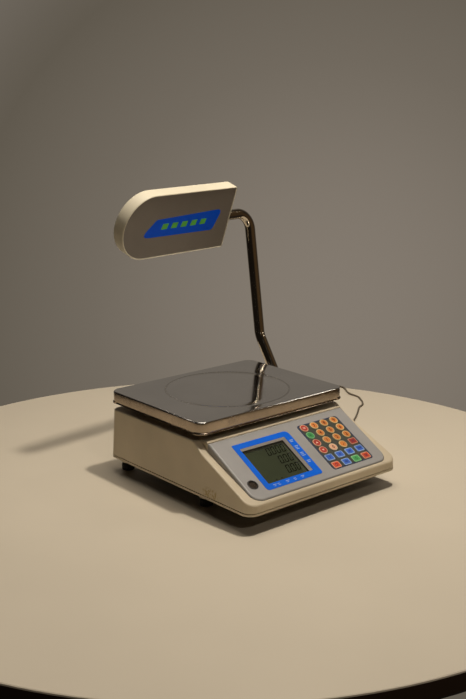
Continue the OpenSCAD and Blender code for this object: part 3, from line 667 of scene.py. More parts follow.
# the tie that holds the coil
b = Builder()
rings = []
for j in range(-4, 5):
    a = math.radians(205) + j * 0.035
    wide = 0.4 if abs(j) == 4 else 0.0
    prof = rrect(14.3 + wide / 2, 25.6 - wide / 2, 0.02 + wide / 2, 10.5 - wide / 2, 2.4, n=5)
    rings.append([T(*(CC + Vector((r * math.cos(a), r * math.sin(a), z)))) for r, z in prof])
b.loft(rings)
inner = []
for j in (4, -4):
    a = math.radians(205) + j * 0.035
    inner.append([T(*(CC + Vector((r * math.cos(a), r * math.sin(a), z)))) for r, z in rrect(14.9, 25.0, 0.4, 10.0, 2.0, n=5)])
b.loft([rings[-1], inner[0], inner[1], rings[0]])
tie = b.obj("lead_tie", ["black"], BODY, slot="adapter_black", sharp=50)

# adapter plug at the inlet: barrel, grooved handle, tapered relief
def lathe(b, prof, place, n=40, mat=0, close=True):
    """prof is (along, radius) pairs, place(along, cos part, sin part) gives the point."""
    rings = [[place(s, r * math.cos(2 * math.pi * i / n), r * math.sin(2 * math.pi * i / n)) for i in range(n)] for s, r in prof]
    b.loft(rings, mat)
    if close:
        b.fan(rings[0], flip=True, mat=mat[0] if isinstance(mat, (list, tuple)) else mat)
        b.fan(rings[-1], mat=mat[-1] if isinstance(mat, (list, tuple)) else mat)


JY, JZ = -30, 25
b = Builder()
prof = [(147.6, 1.0), (147.6, 2.5), (147.9, 2.75), (156.2, 2.75)]
lathe(b, prof, lambda s, u, v: W(s, JY + u, JZ + v), 32, 1)
prof = [(156.2, 2.7), (156.2, 4.5), (156.7, 4.9), (160.4, 4.9)]
for i in range(5):
    x = 161 + 3.4 * i
    prof += [(x, 4.9), (x + 0.35, 4.45), (x + 1.3, 4.45), (x + 1.65, 4.9)]
prof += [(180.0, 4.85), (180.9, 4.2), (181.2, 3.35)]
for i in range(6):
    x = 182.0 + 2 * i
    r = 3.3 - 0.19 * i
    prof += [(x, r), (x + 0.25, r - 0.45), (x + 0.95, r - 0.5), (x + 1.2, r - 0.1)]
prof += [(193.6, 2.15), (194.0, 1.8)]
lathe(b, prof, lambda s, u, v: W(s, JY + u, JZ + v), 40, 0)
plug = b.obj("inlet_plug", ["adapter", "nickel"], BODY, ("dc_plug",), "adapter_black", sharp=40)

# mains adapter: two half shells with a parting line, label recess, two round pins
b = Builder()
AX0, AX1, AY0, AY1 = 257, 325, 190, 232
lv = [(2.2, 0.0), (1.1, 0.3), (0.3, 1.2), (0.0, 2.6), (0.0, 14.6), (0.45, 14.9), (0.45, 15.4), (0.0, 15.7), (0.0, 27.0), (0.35, 28.4), (1.2, 29.5), (2.6, 30.0)]
rings = [[T(x, y, z) for x, y in rrect(AX0, AX1, AY0, AY1, 5, e, 7)] for e, z in lv]
b.loft(rings)
b.cap([rings[0]], flip=True)
pad = [[T(x, y, z) for x, y in rrect(AX0 + 8, AX1 - 22, AY0 + 6, AY1 - 6, 3, e, 7)] for e, z in ((0, 30.0), (0.3, 29.5), (0.8, 29.4))]
b.cap([rings[-1], pad[0]])
b.loft(pad)
b.cap([pad[-1]])
for s in (-1, 1):
    prof = [(29.5, 3.1), (30.3, 3.1), (30.3, 2.0), (47.6, 2.0), (48.6, 1.6), (49.0, 0.8)]
    lathe(b, prof, lambda t, u, v, s=s: T(285 + u, 211 + 9.5 * s + v, t), 28, [0, 0, 1, 1, 1, 1])
prof = [(324.4, 4.4), (327.5, 4.35)]
for i in range(8):
    x = 328.2 + 2.3 * i
    r = 4.15 - 0.19 * i
    prof += [(x, r), (x + 0.3, r - 0.5), (x + 1.1, r - 0.55), (x + 1.4, r - 0.1)]
prof += [(346.6, 2.6), (347.0, 2.0)]
lathe(b, prof, lambda s, u, v: T(s, 211 + u, 6.3 + v), 32, 0)
adapter = b.obj("mains_adapter", ["adapter", "nickel"], BODY, ("power_adapter",), "adapter_black", sharp=40)


# ---------------------------------------------------------------- casing
def cut(obj, *cutters):
    """Takes the cutters out of obj for good, modifiers before them included."""
    for c in cutters:
        mod = obj.modifiers.new("cut", "BOOLEAN")
        mod.operation, mod.solver, mod.object = "DIFFERENCE", "EXACT", c
    dg = bpy.context.evaluated_depsgraph_get()
    me = bpy.data.meshes.new_from_object(obj.evaluated_get(dg), preserve_all_data_layers=True, depsgraph=dg)
    obj.modifiers.clear()
    obj.data = me
    for c in cutters:
        bpy.data.objects.remove(c)
    return obj


def cutter(place, prof, n=48):
    """A round cutter: prof is (along, radius)."""
    b = Builder()
    lathe(b, prof, place, n)
    me = bpy.data.meshes.new("cutter")
    me.from_pydata(b.v, [], b.f)
    import bmesh
    bm = bmesh.new()
    bm.from_mesh(me)
    bmesh.ops.remove_doubles(bm, verts=bm.verts, dist=1e-6)
    bmesh.ops.recalc_face_normals(bm, faces=bm.faces)
    bm.to_mesh(me)
    bm.free()
    o = bpy.data.objects.new("cutter", me)
    scene.collection.objects.link(o)
    o.hide_render = True
    return o


LEDGE = [(-97, 89.0), (-99, 88.8), (-103, 87.2), (-108, 83.6), (-113, 79.9), (-119, 76), (-127, 71.8), (-136, 67.8), (-168, 53.3), (-200, 38.85), (-233, 23.9)]
DECK, REAR, FRONT, DRAFT = 89.0, 117.0, -232.0, 4.5 / 76.5
HALF = 138.6
FIL = 2.4


def ledge(y):
    return DECK if y > -97 else catmull(LEDGE, y)


def deck_edge(y):
    """Height of the middle of the deck, which runs on to the console."""
    if y > -116:
        return DECK
    t = min(1.0, (-116 - y) / 4.6)
    return DECK - 1.7 * t * t


SIDE_Y = [90, 78, 66, 54, 42, 30, 18, 6, -6, -18, -30, -42, -54, -66, -78, -90, -97, -98.5, -100, -102, -104, -106, -108,
          -110.5, -113, -116, -119, -123, -127, -131.5, -136, -142, -149, -157, -165, -173, -181, -189, -197, -205]


def outline(e, n=10):
    """The body's outline with extra points along its straight sides."""
    base = rrect(-155, 155, FRONT, REAR, 17, e, n)
    out = []
    for i, p in enumerate(base):
        q = base[(i + 1) % len(base)]
        out.append(p)
        d = math.hypot(q[0] - p[0], q[1] - p[1])
        if d > 30 and abs(q[0] - p[0]) < 1:
            mid = [(p[0], y) for y in SIDE_Y]
            out += mid if q[1] < p[1] else mid[::-1]
        elif d > 30:
            out += [(p[0] + (q[0] - p[0]) * j / 40, p[1]) for j in range(1, 40)]
    return out


b = Builder()
OUT0 = outline(0)
wall_rings = []
tops = [ledge(y) for _, y in OUT0]
for f in [0, 0.02, 0.06, 0.14, 0.26, 0.4, 0.55, 0.7, 0.85, 1.0]:
    ring = []
    for (x, y), top in zip(OUT0, tops):
        z = 14.0 + f * (top - FIL - 14.0)
        ring.append((z, None))
    wall_rings.append([r[0] for r in ring])


def at_inset(e_list):
    """Outline points, each moved in by its own amount."""
    out = []
    cache = {}
    for i, e in enumerate(e_list):
        key = round(e, 3)
        if key not in cache:
            cache[key] = outline(key)
        out.append(cache[key][i])
    return out


rings = []
# the lower edge is turned in a little, over the seam
for e, z in ((2.6, 13.5), (0.75, 13.5), (0.25, 13.6), (0.1, 13.8)):
    rings.append([W(x, y, z) for x, y in outline(e)])
for zs in wall_rings:
    pts = at_inset([DRAFT * (z - 12.5) for z in zs])
    rings.append([W(x, y, z) for (x, y), z in zip(pts, zs)])
top_ring = None
for i in range(1, 7):
    a = math.pi / 2 * i / 6
    es = [DRAFT * (t - FIL - 12.5) + FIL * (1 - math.cos(a)) for t in tops]
    pts = at_inset(es)
    zs = [ledge(y) - FIL + FIL * math.sin(a) for x, y in pts]
    top_ring = [(x, y) for x, y in pts]
    rings.append([W(x, y, z) for (x, y), z in zip(pts, zs)])
b.loft(rings)


# the opening for the console, on the ledge's surface
def open_pt(x, s):
    lo, hi = -30.0, 5.0
    for _ in range(40):
        w = (lo + hi) / 2
        y, z = -120 + s * CT - w * ST, 87.85 + s * ST + w * CT
        if z > ledge(y):
            hi = w
        else:
            lo = w
    return (x, -120 + s * CT - w * ST)


side_s = [(-105.2 + (105.2 - 1.0) * j / 60) for j in range(61)]
front_edge = arc(-HALF - 0.2 + 18, -123.2 + 18, 18, 180, 270, 12) + arc(HALF + 0.2 - 18, -123.2 + 18, 18, 270, 360, 12)
hole = [open_pt(x, s) for x, s in front_edge]
ys_side = [hole[0][1] + (-97.5 - hole[0][1]) * j / 60 for j in range(1, 61)]
right_side = [(HALF + 0.2, y) for y in ys_side]
left_side = [(-HALF - 0.2, y) for y in ys_side]
from mathutils.geometry import delaunay_2d_cdt


def inside(p, loop):
    x, y = p
    c = False
    for i in range(len(loop)):
        (x0, y0), (x1, y1) = loop[i - 1], loop[i]
        if (y0 > y) != (y1 > y) and x < (x1 - x0) * (y - y0) / (y1 - y0) + x0:
            c = not c
    return c


def sheet_of(b, loops, height, grid=None, keep=None, mat=0):
    """Triangles between the first loop and the others, as holes, lifted to height(x, y). grid adds points inside."""
    pts, edges = [], []
    for lp in loops:
        k = len(pts)
        pts += [Vector(p) for p in lp]
        edges += [(k + i, k + (i + 1) % len(lp)) for i in range(len(lp))]
    if grid:
        pts += [Vector(p) for p in grid if inside(p, loops[0]) and not any(inside(p, h) for h in loops[1:])]
    v, _, f, _, _, _ = delaunay_2d_cdt(pts, edges, [], 0, 1e-5)
    keep_f = []
    for t in f:
        c = ((v[t[0]].x + v[t[1]].x + v[t[2]].x) / 3, (v[t[0]].y + v[t[1]].y + v[t[2]].y) / 3)
        if inside(c, loops[0]) and not any(inside(c, h) for h in loops[1:]):
            keep_f.append(list(t))
    b.add([height(p.x, p.y) for p in v], keep_f, mat)


# ledges: from the outline in to the opening, up to where the deck starts
YB = -97 + 1e-6
# top_ring starts on the left side and runs to the front, the right side and back
start = max(range(len(top_ring)), key=lambda i: (top_ring[i][0] < 0 and top_ring[i][1] <= YB, top_ring[i][1] if top_ring[i][0] < 0 and top_ring[i][1] <= YB else -1e9))
order = [top_ring[(start + i) % len(top_ring)] for i in range(len(top_ring))]
walk = []
for p in order:
    if p[1] <= YB:
        walk.append(p)
    elif walk:
        break
yl = walk[0][1]
inner_loop = [(-HALF - 0.2, y) for y in reversed(ys_side) if y < yl - 0.5]
inner_r = [(HALF + 0.2, y) for y in ys_side if y < yl - 0.5]
loop = walk + [(HALF + 0.2, walk[-1][1])] + inner_r[::-1] + hole[::-1] + inner_loop[::-1] + [(-HALF - 0.2, yl)]
grid = []
for y in [yl - 3 - 2.2 * i for i in range(60)]:
    for x in (141.5, 144.5, 147.5):
        grid += [(x, y), (-x, y)]
sheet_of(b, [loop], lambda x, y: W(x, y, ledge(y)), grid)
# deck behind the ledges, with the opening for the pan's support
right_start = [i for i, p in enumerate(top_ring) if p == walk[-1]][0]
ring_d = [top_ring[(right_start + i) % len(top_ring)] for i in range(len(top_ring))]
stop = [i for i, p in enumerate(ring_d) if p == walk[0]][0]
ring_d = ring_d[: stop + 1]
YE = -119.9
xs_edge = [HALF - 1.4 - (2 * (HALF - 1.4)) * i / 60 for i in range(61)]
SE = 2.2


def side_in(y):
    """How far the rounded side edge of the raised deck comes in."""
    return min(SE, max(0.0, (DECK - ledge(y)) * 0.7))


ys_c = [yl + (YE - yl) * i / 24 for i in range(25)]
cr_side = [(HALF - side_in(y), y) for y in ys_c]
cl_side = [(-HALF + side_in(y), y) for y in ys_c]
front_line = [(cl_side[-1][0] + (cr_side[-1][0] - cl_side[-1][0]) * i / 40, YE) for i in range(1, 40)]
deck_loop = ring_d + [(-HALF - 0.2, yl)] + cl_side + front_line + cr_side[::-1] + [(HALF + 0.2, yl)]
opening = rrect(-24, 24, 20, 73, 5, 0, 6)
lip = rrect(-24, 24, 20, 73, 5, -1.2, 6)
grid = [(x, y) for x in range(-135, 136, 10) for y in (-118.4, -117, -115, -108, -100, -80, -60, -40, -20, 0, 20, 40, 60, 80, 100)]
sheet_of(b, [deck_loop, lip], lambda x, y: W(x, y, deck_edge(y)), grid)
b.loft([[W(x, y, DECK) for x, y in lip], [W(x, y, DECK - 0.4) for x, y in rrect(-24, 24, 20, 73, 5, -0.3, 6)], [W(x, y, DECK - 1.2) for x, y in opening], [W(x, y, DECK - 2.6) for x, y in opening]])
for sgn, side in ((1, cr_side), (-1, cl_side)):
    rows = []
    for (x, y) in side:
        si, zt, zl = side_in(y), deck_edge(y), ledge(y)
        row = []
        for i in range(6):
            a = math.pi / 2 * i / 5
            row.append(W(sgn * (HALF - si + si * math.sin(a)), y, zt - si * (1 - math.cos(a))))
        row.append(W(sgn * HALF, y, min(zt - si, max(zl, zt - si - 3))))
        row.append(W(sgn * (HALF + 0.1), y, min(zl, zt)))
        row.append(W(sgn * (HALF + 0.2), y, min(zl, zt)))
        rows.append(row)
    b.loft(rows, closed=False)
# short walls down into the opening
b.loft([[W(x, y, ledge(y)) for x, y in inner_loop + hole + inner_r], [W(x, y - 1.0, ledge(y) - 3.5) if abs(x) < HALF else W(x, y, ledge(y) - 3.5) for x, y in inner_loop + hole + inner_r]], closed=False)
b.loft([[W(x, YE, deck_edge(YE)) for x, _ in [cl_side[-1]] + front_line + [cr_side[-1]]], [W(x, YE, deck_edge(YE) - 3) for x, _ in [cl_side[-1]] + front_line + [cr_side[-1]]]], closed=False)
casing = b.obj("casing", ["casing"], BODY, ("upper_housing",), "housing", sharp=38, weighted=False, merge=2e-5)
# wall thickness, then the holes for the tube's clamp and the inlet
sm = casing.modifiers.new("thickness", "SOLIDIFY")
sm.thickness, sm.offset, sm.use_rim = 2.2 * MM, -1, True
cut(casing,
    cutter(lambda s, u, v: W(s, 70.5 + u, 42 + v), [(146, 12.3), (151.6, 12.3), (153.4, 13.0), (160, 16)]),
    cutter(lambda s, u, v: W(s, JY + u, JZ + v), [(146, 5.7), (160, 5.7)]))
casing.data.shade_smooth()
casing.data.set_sharp_from_angle(angle=math.radians(38))
wnm = casing.modifiers.new("normals", "WEIGHTED_NORMAL")
wnm.keep_sharp = True

# ---------------------------------------------------------------- tray and carried-over parts
def dress(node, mat, width=0.35, angle=35, seg=2):
    """A CAD node that stays: its own mesh, broken edges and a procedural finish."""
    o = NODES[node]
    o.data.materials.clear()
    o.data.materials.append(M[mat])
    wl = o.modifiers.new("weld", "WELD")
    wl.merge_threshold = 1e-6
    if width:
        bv = o.modifiers.new("edges", "BEVEL")
        bv.width, bv.segments, bv.limit_method = width * MM, seg, "ANGLE"
        bv.angle_limit = math.radians(angle)
        bv.harden_normals = True
    return o


for node, mt, wd in (("lower_housing", "tray", 0.4), ("lcd_window", "window", 0), ("key_mat", "grey_rubber", 0.2), ("main_board", "board", 0.15),
                     ("spider", "cast", 0.6), ("pan_pads", "rubber", 0.5), ("load_cell", "cell", 0.4), ("load_cell_pedestal", "cast", 0.5),
                     ("load_cell_screws", "screw", 0.2), ("battery", "battery", 0.6), ("battery_cover", "tray", 0.3), ("housing_screws", "screw", 0.2),
                     ("pole_clamp", "nylon", 0.6), ("head_bushing", "black", 0.3), ("head_display", "board", 0.2), ("head_lens", "window", 0), ("dc_jack", "black", 0.25)):
    dress(node, mt, wd)


# ---------------------------------------------------------------- console
def rr2(x0, x1, y0, y1, a, b, g=0.0, n=8):
    """Rounded rectangle whose lower corners have radius a and upper ones b, grown by g."""
    return rrect(x0 - g, x1 + g, y0 - g, y1 + g, (a + g, a + g, b + g, b + g), 0, n)


LX, LS = (-96.5, -7.3), (-99.7, -26.6)
PX, PS = (27.8, 114.6), (-111.6, -14.4)
LV = (-121.7, -92.9)
CW, CL = 138.6, 123.0
b = Builder()
outer = lambda e: rrect(-CW + e, CW - e, -CL + e, -e, (max(17.8 - e, 1), max(17.8 - e, 1), max(2.8 - e * 0.85, 0.25), max(2.8 - e * 0.85, 0.25)), 0, 10)
R = 3.2
lv = [(2.6, -2.6), (2.6, -14.0), (0.0, -14.0), (0.0, -8.0)] + fillet(0, 0, R, 7)
well = lambda g: rrect(LX[0] - g, LX[1] + g, LS[0] - g, LS[1] + g, max(1.5 + g, 0.3), 0, 6)
pocket = lambda g: rrect(PX[0] - g, PX[1] + g, PS[0] - g, PS[1] + g, max(5.0 + g, 0.5), 0, 8)
level_hole = lambda g: circle(LV[0], LV[1], 7.8 + g, 40)
plate(b, outer, lv, [
    (well, [(0.5, 0), (0.12, -0.18), (0, -0.55), (0, -6.9), (1.7, -6.9), (1.7, -2.6)]),
    (pocket, [(0.35, 0), (0.15, -0.25), (0.15, -1.5), (-1.2, -1.5), (-1.2, -2.6)]),
    (level_hole, [(0.2, 0), (0, -0.3), (0, -2.6)]),
], con, mat_holes=[1, 0, 0])
console = b.obj("console", ["console", "well"], BODY, ("console_plate",), "console", sharp=32)

# blue surround of the display, with plain marks
b = Builder()
OVX, OVS = (-106.0, 5.6), (-110.2, -16.6)
outer = lambda e: rrect(OVX[0] + e, OVX[1] - e, OVS[0] + e, OVS[1] - e, (5 - e, 4.5 - e, 8 - e, 2.2 - e), 0, 8)
plate(b, outer, [(0.0, 0.02), (0.0, 0.3), (0.06, 0.42), (0.2, 0.45)], [(lambda g: rrect(LX[0] - g, LX[1] + g, LS[0] - g, LS[1] + g, max(1.5 + g, 0.2), 0, 6), [(0.12, 0.45), (0.0, 0.38), (0.0, 0.02)])], con)
H0 = 0.455


def bar(b, x0, x1, s0, s1, mat=1, h=H0, r=0.25):
    """A printed bar on the console's plane."""
    ring = [con(x, s, h) for x, s in rrect(x0, x1, s0, s1, min(r, (x1 - x0) / 2.1, (s1 - s0) / 2.1), 0, 3)]
    low = [con(x, s, h - 0.04) for x, s in rrect(x0, x1, s0, s1, min(r, (x1 - x0) / 2.1, (s1 - s0) / 2.1), 0, 3)]
    b.loft([low, ring], mat)
    b.cap([ring], mat=mat)


for s0, rows in ((-40.0, (5.8, 7.0)), (-56.0, (6.2, 5.0, 7.2)), (-70.5, (7.0, 5.6, 6.4)), (-84.5, (5.8, 7.0))):
    for i, wd in enumerate(rows):
        bar(b, -4.4, -4.4 + wd, s0 + 2.9 * i, s0 + 2.9 * i + 1.7)
for i, x in enumerate((-91, -82.5, -66, -50.5, -36)):
    bar(b, x, x + (6.8 if i % 2 == 0 else 4.2), -104.4, -103.2)
    bar(b, x + 0.6, x + (4.4 if i % 2 == 0 else 5.0), -106.8, -105.8)
b.obj("display_surround", ["blue", "mark"], BODY, ("display_overlay",), "overlay_blue", sharp=30)

# display: glass cell with a border line, seven-segment figures and two small marks
b = Builder()
LH = -8.6
plate(b, lambda e: rrect(LX[0] - 1.5 + e, LX[1] + 1.5 - e, LS[0] - 1.5 + e, LS[1] + 1.5 - e, 0.6, 0, 3), [(0.3, -12.5), (0, -12.2), (0, -8.9), (0.25, LH - 0.02)], [], con)
frame_out = rrect(LX[0] - 1.0, LX[1] + 1.0, LS[0] - 1.0, LS[1] + 1.0, 0.4, 0, 3)
SLANT = math.tan(math.radians(12))
SEGS = {"0": "abcdef", "1": "bc", "2": "abged", "3": "abgcd", "8": "abcdefg"}


def segment_figure(b, ch, x, s, wd, ht, th, mat=1, h=LH + 0.03):
    """One seven-segment figure with its lower left corner at x, s."""
    g = th * 0.12

    def poly(pts):
        ring = [con(x + px + py * SLANT, s + py, h) for px, py in pts]
        low = [con(x + px + py * SLANT, s + py, h - 0.02) for px, py in pts]
        b.loft([low, ring], mat)
        b.cap([ring], mat=mat)

    hm = ht / 2
    shapes = {
        "a": [(th * 0.1 + g, ht), (wd - th * 0.1 - g, ht), (wd - th - g, ht - th), (th + g, ht - th)],
        "d": [(th + g, th), (wd - th - g, th), (wd - th * 0.1 - g, 0), (th * 0.1 + g, 0)],
        "g": [(th * 0.6, hm), (th, hm + th / 2), (wd - th, hm + th / 2), (wd - th * 0.6, hm), (wd - th, hm - th / 2), (th, hm - th / 2)],
        "f": [(0, ht - th * 0.1 - g), (th, ht - th - g), (th, hm + th / 2 + g), (th * 0.5, hm + g), (0, hm + th * 0.4)],
        "e": [(0, th * 0.1 + g), (0, hm - th * 0.4), (th * 0.5, hm - g), (th, hm - th / 2 - g), (th, th + g)],
        "b": [(wd, ht - th * 0.1 - g), (wd, hm + th * 0.4), (wd - th * 0.5, hm + g), (wd - th, hm + th / 2 + g), (wd - th, ht - th - g)],
        "c": [(wd, th * 0.1 + g), (wd - th, th + g), (wd - th, hm - th / 2 - g), (wd - th * 0.5, hm - g), (wd, hm - th * 0.4)],
    }
    for k in SEGS[ch]:
        poly(shapes[k])


def dot(b, x, s, r=0.75, mat=1, h=LH + 0.03):
    ring = [con(px, ps, h) for px, ps in circle(x, s, r, 14)]
    low = [con(px, ps, h - 0.02) for px, ps in circle(x, s, r, 14)]
    b.loft([low, ring], mat)
    b.cap([ring], mat=mat)


def reading(b, text, right_x, low_s, ht, pitch=9.6, wd=7.4, th=1.7):
    """Figures set against right_x, their feet on low_s."""
    chars = [c for c in text if c != "."]
    n = len(chars)
    for i, c in enumerate(chars):
        segment_figure(b, c, right_x - wd - ht * SLANT - pitch * (n - 1 - i), low_s, wd, ht, th)
    after = text.index(".")
    dot(b, right_x - ht * SLANT - pitch * (n - after) + (pitch - wd) / 2 + 0.2, low_s + 0.6, 0.72)


reading(b, "0.000", -11.2, -47.0, 15.6)
reading(b, "0.00", -10.9, -66.8, 15.6)
reading(b, "0.00", -11.6, -86.5, 15.6)
for x in (-69.4, -59.0):
    ring = [(x - 1.5, -91.6), (x + 1.5, -91.6), (x, -89.2)]
    b.loft([[con(px, ps, LH + 0.01) for px, ps in ring], [con(px, ps, LH + 0.03) for px, ps in ring]], 1)
    b.cap([[con(px, ps, LH + 0.03) for px, ps in ring]], mat=1)
# dark border line of the cell along its top and right
for x0, x1, s0, s1 in ((LX[0] + 0.4, LX[1] - 0.4, LS[1] - 1.6, LS[1] - 0.5), (LX[1] - 1.5, LX[1] - 0.4, LS[0] + 0.4, LS[1] - 0.5)):
    bar(b, x0, x1, s0, s1, 1, LH + 0.02, 0.1)
b.obj("display_cell", ["lcd", "lcd_ink"], BODY, ("lcd_module",), "lcd_panel", sharp=40)


# ---------------------------------------------------------------- keypad
def kx(c):
    return 38.5 + 21.63 * c


def ks(r):
    return -(22.2 + 16.36 * r)


def is_round(r, c):
    return r < 3 or (r == 3 and c < 3)


def key_outline(r, c, g=0.0, n=5):
    if is_round(r, c):
        return circle(kx(c), ks(r), 7.3 + g, 40)
    return rrect(kx(c) - 7.7 - g, kx(c) + 7.7 + g, ks(r) - 6.3 - g, ks(r) + 6.3 + g, max(2.4 + g, 0.3), 0, 9)


b = Builder()
outer = lambda e: rrect(PX[0] + e, PX[1] - e, PS[0] + e, PS[1] - e, max(5 - e, 0.4), 0, 8)
lv = [(0.0, -1.5), (0.0, 0.02), (0.06, 0.15), (0.22, 0.2)]
b.loft([[con(x, s, h) for x, s in outer(e)] for e, h in lv], 1)
b.loft([[con(x, s, 0.2) for x, s in outer(0.22)], [con(x, s, 0.2) for x, s in outer(2.3)]], 1)
holes_top, holes_bot = [], []
for r in range(6):
    for c in range(4):
        rings = [[con(x, s, h) for x, s in key_outline(r, c, g)] for g, h in ((0.42, 0.2), (0.3, 0.12), (0.3, -1.5))]
        b.loft(rings, 0)
        holes_top.append(rings[0])
        holes_bot.append(rings[-1])


def flat_cap(b, outer2, holes2, h, mat):
    sheet_of(b, [outer2] + holes2, lambda x, s: con(x, s, h), None, mat=mat)


flat_cap(b, outer(2.3), [key_outline(r, c, 0.42) for r in range(6) for c in range(4)], 0.2, 0)
flat_cap(b, outer(0.0), [key_outline(r, c, 0.3) for r in range(6) for c in range(4)], -1.5, 0)
b.obj("keypad_film_piece", ["ground", "film"], BODY, ("keypad_panel",), "keypad_film", sharp=32)


def glyph(text, size):
    """Flat outline mesh of plain figures, centred, as (points, faces)."""
    cu = bpy.data.curves.new("glyph", "FONT")
    cu.body, cu.size, cu.align_x = text, size, "CENTER"
    cu.resolution_u = 4
    cu.offset = 0.16
    o = bpy.data.objects.new("glyph", cu)
    scene.collection.objects.link(o)
    dg = bpy.context.evaluated_depsgraph_get()
    me = o.evaluated_get(dg).to_mesh()
    pts = [(v.co.x, v.co.y) for v in me.vertices]
    faces = [list(p.vertices) for p in me.polygons]
    o.evaluated_get(dg).to_mesh_clear()
    bpy.data.objects.remove(o)
    bpy.data.curves.remove(cu)
    ys = [p[1] for p in pts]
    xs = [p[0] for p in pts]
    cx, cy = (min(xs) + max(xs)) / 2, (min(ys) + max(ys)) / 2
    return [(x - cx, y - cy) for x, y in pts], faces


def flat_shape(b, pts, cx, cy, h, mat):
    b.cap([[con(cx + x, cy + y, h) for x, y in pts]], mat=mat)


def strip(x0, y0, x1, y1, th):
    dx, dy = x1 - x0, y1 - y0
    d = math.hypot(dx, dy)
    nx, ny = -dy / d * th / 2, dx / d * th / 2
    return [(x0 + nx, y0 + ny), (x0 - nx, y0 - ny), (x1 - nx, y1 - ny), (x1 + nx, y1 + ny)]


KEYS = [
    [("key_clear", "key_red", "C"), ("key_7", "key_orange", "7"), ("key_8", "key_orange", "8"), ("key_9", "key_orange", "9")],
    [("key_add", "key_green", "+"), ("key_4", "key_orange", "4"), ("key_5", "key_orange", "5"), ("key_6", "key_orange", "6")],
    [("key_up", "key_red", "^"), ("key_1", "key_orange", "1"), ("key_2", "key_orange", "2"), ("key_3", "key_orange", "3")],
    [("key_down", "key_red", "v"), ("key_0", "key_cream", "0"), ("key_point", "key_orange", "."), ("key_total", "key_dark_red", "=")],
    [("key_memory_1", "key_blue", "m1"), ("key_memory_2", "key_blue", "m2"), ("key_memory_3", "key_blue", "m3"), ("key_memory_4", "key_blue", "m4")],
    [("key_power", "key_vermilion", "o"), ("key_tare", "key_blue", "t"), ("key_zero", "key_green", "z"), ("key_print", "key_vermilion", "p")],
]
for r in range(6):
    for c in range(4):
        node, mt, mark = KEYS[r][c]
        b = Builder()
        cx, cy = kx(c), ks(r)
        prof = [(0.0, -2.6), (0.0, 0.55), (-0.07, 0.78), (-0.22, 0.95), (-0.45, 1.05), (-0.8, 1.1), (-1.45, 1.12), (-1.6, 1.06), (-1.8, 1.06), (-2.1, 1.1), (-3.5, 1.16), (-5.2, 1.185)]
        rings = [[con(x, s, h) for x, s in key_outline(r, c, g)] for g, h in prof]
        n_edge = 7
        b.loft(rings, [1] * n_edge + [0] * (len(rings) - 1 - n_edge))
        b.fan(rings[-1], mat=0)
        b.fan(rings[0], flip=True, mat=1)
        HI = 1.2
        if mark.isdigit():
            pts, faces = glyph(mark, 7.6)
            b.add([con(cx + x, cy + y, HI) for x, y in pts], faces, 2)
        elif mark == "C":
            for off in (-1.0, 1.0):
                flat_shape(b, strip(-2.6, off, 2.6, off, 0.9), cx, cy, HI, 2)
        elif mark == "+":
            flat_shape(b, strip(-2.4, 0, 2.4, 0, 1.1), cx, cy, HI, 2)
            flat_shape(b, strip(0, 0.55, 0, 2.4, 1.1), cx, cy, HI, 2)
            flat_shape(b, strip(0, -0.55, 0, -2.4, 1.1), cx, cy, HI, 2)
        elif mark in "^v":
            k = 1 if mark == "^" else -1
            flat_shape(b, [(-2.4, -1.5 * k), (2.4, -1.5 * k), (0, 1.9 * k)], cx, cy, HI, 2)
        elif mark == ".":
            flat_shape(b, circle(0, -1.2, 1.0, 16), cx, cy, HI, 2)
        elif mark == "=":
            for off in (-1.1, 1.1):
                flat_shape(b, strip(-2.4, off, 2.4, off, 0.9), cx, cy, HI, 2)
        elif mark[0] == "m":
            n = int(mark[1])
            for i in range(n):
                x = (i - (n - 1) / 2) * 1.9
                flat_shape(b, rrect(x - 0.5, x + 0.5, -1.9, 1.9, 0.3, 0, 3), cx, cy, HI, 2)
        elif mark == "o":
            rg = [[con(cx + x, cy + y, HI) for x, y in circle(0, 0, q, 28)] for q in (2.5, 1.7)]
            b.loft(rg, 2)
        elif mark == "t":
            flat_shape(b, [(-2.8, 0), (-0.6, -1.7), (-0.6, 1.7)], cx, cy, HI, 2)
            flat_shape(b, [(2.8, 0), (0.6, 1.7), (0.6, -1.7)], cx, cy, HI, 2)
        elif mark == "z":
            rg = [[con(cx + x * 0.8, cy + y * 1.15, HI) for x, y in circle(0, 0, q, 28)] for q in (2.4, 1.5)]
            b.loft(rg, 2)
        elif mark == "p":
            for off in (-1.7, 0, 1.7):
                flat_shape(b, strip(-2.6, off, 2.6, off, 0.8), cx, cy, HI, 2)
        ink = KEYCOL[mt][2]
        b.obj(node + "_cap", [mt, mt + "_edge", ink], node, (node,), mt, sharp=40)

# ---------------------------------------------------------------- level
b = Builder()
prof = [(-5.0, 6.6), (0.25, 6.6), (0.5, 6.85), (0.5, 8.35), (0.35, 8.62), (0.1, 8.7), (0.02, 8.7), (0.02, 7.6), (-8.0, 7.6)]
lathe(b, prof, lambda w, u, v: con(LV[0] + u, LV[1] + v, w), 48, 0, close=False)
LY, LZ = -120 + LV[1] * CT, 87.85 + LV[1] * ST
prof = [(LZ - 5.0, 6.3), (LZ - 7.2, 6.1), (LZ - 14, 6.05), (LZ - 14, 7.5), (LZ - 16, 7.4), (LZ - 16, 0.5)]
lathe(b, prof, lambda z, u, v: W(LV[0] + u, LY + 3.4 + v, z), 48, 0, close=False)
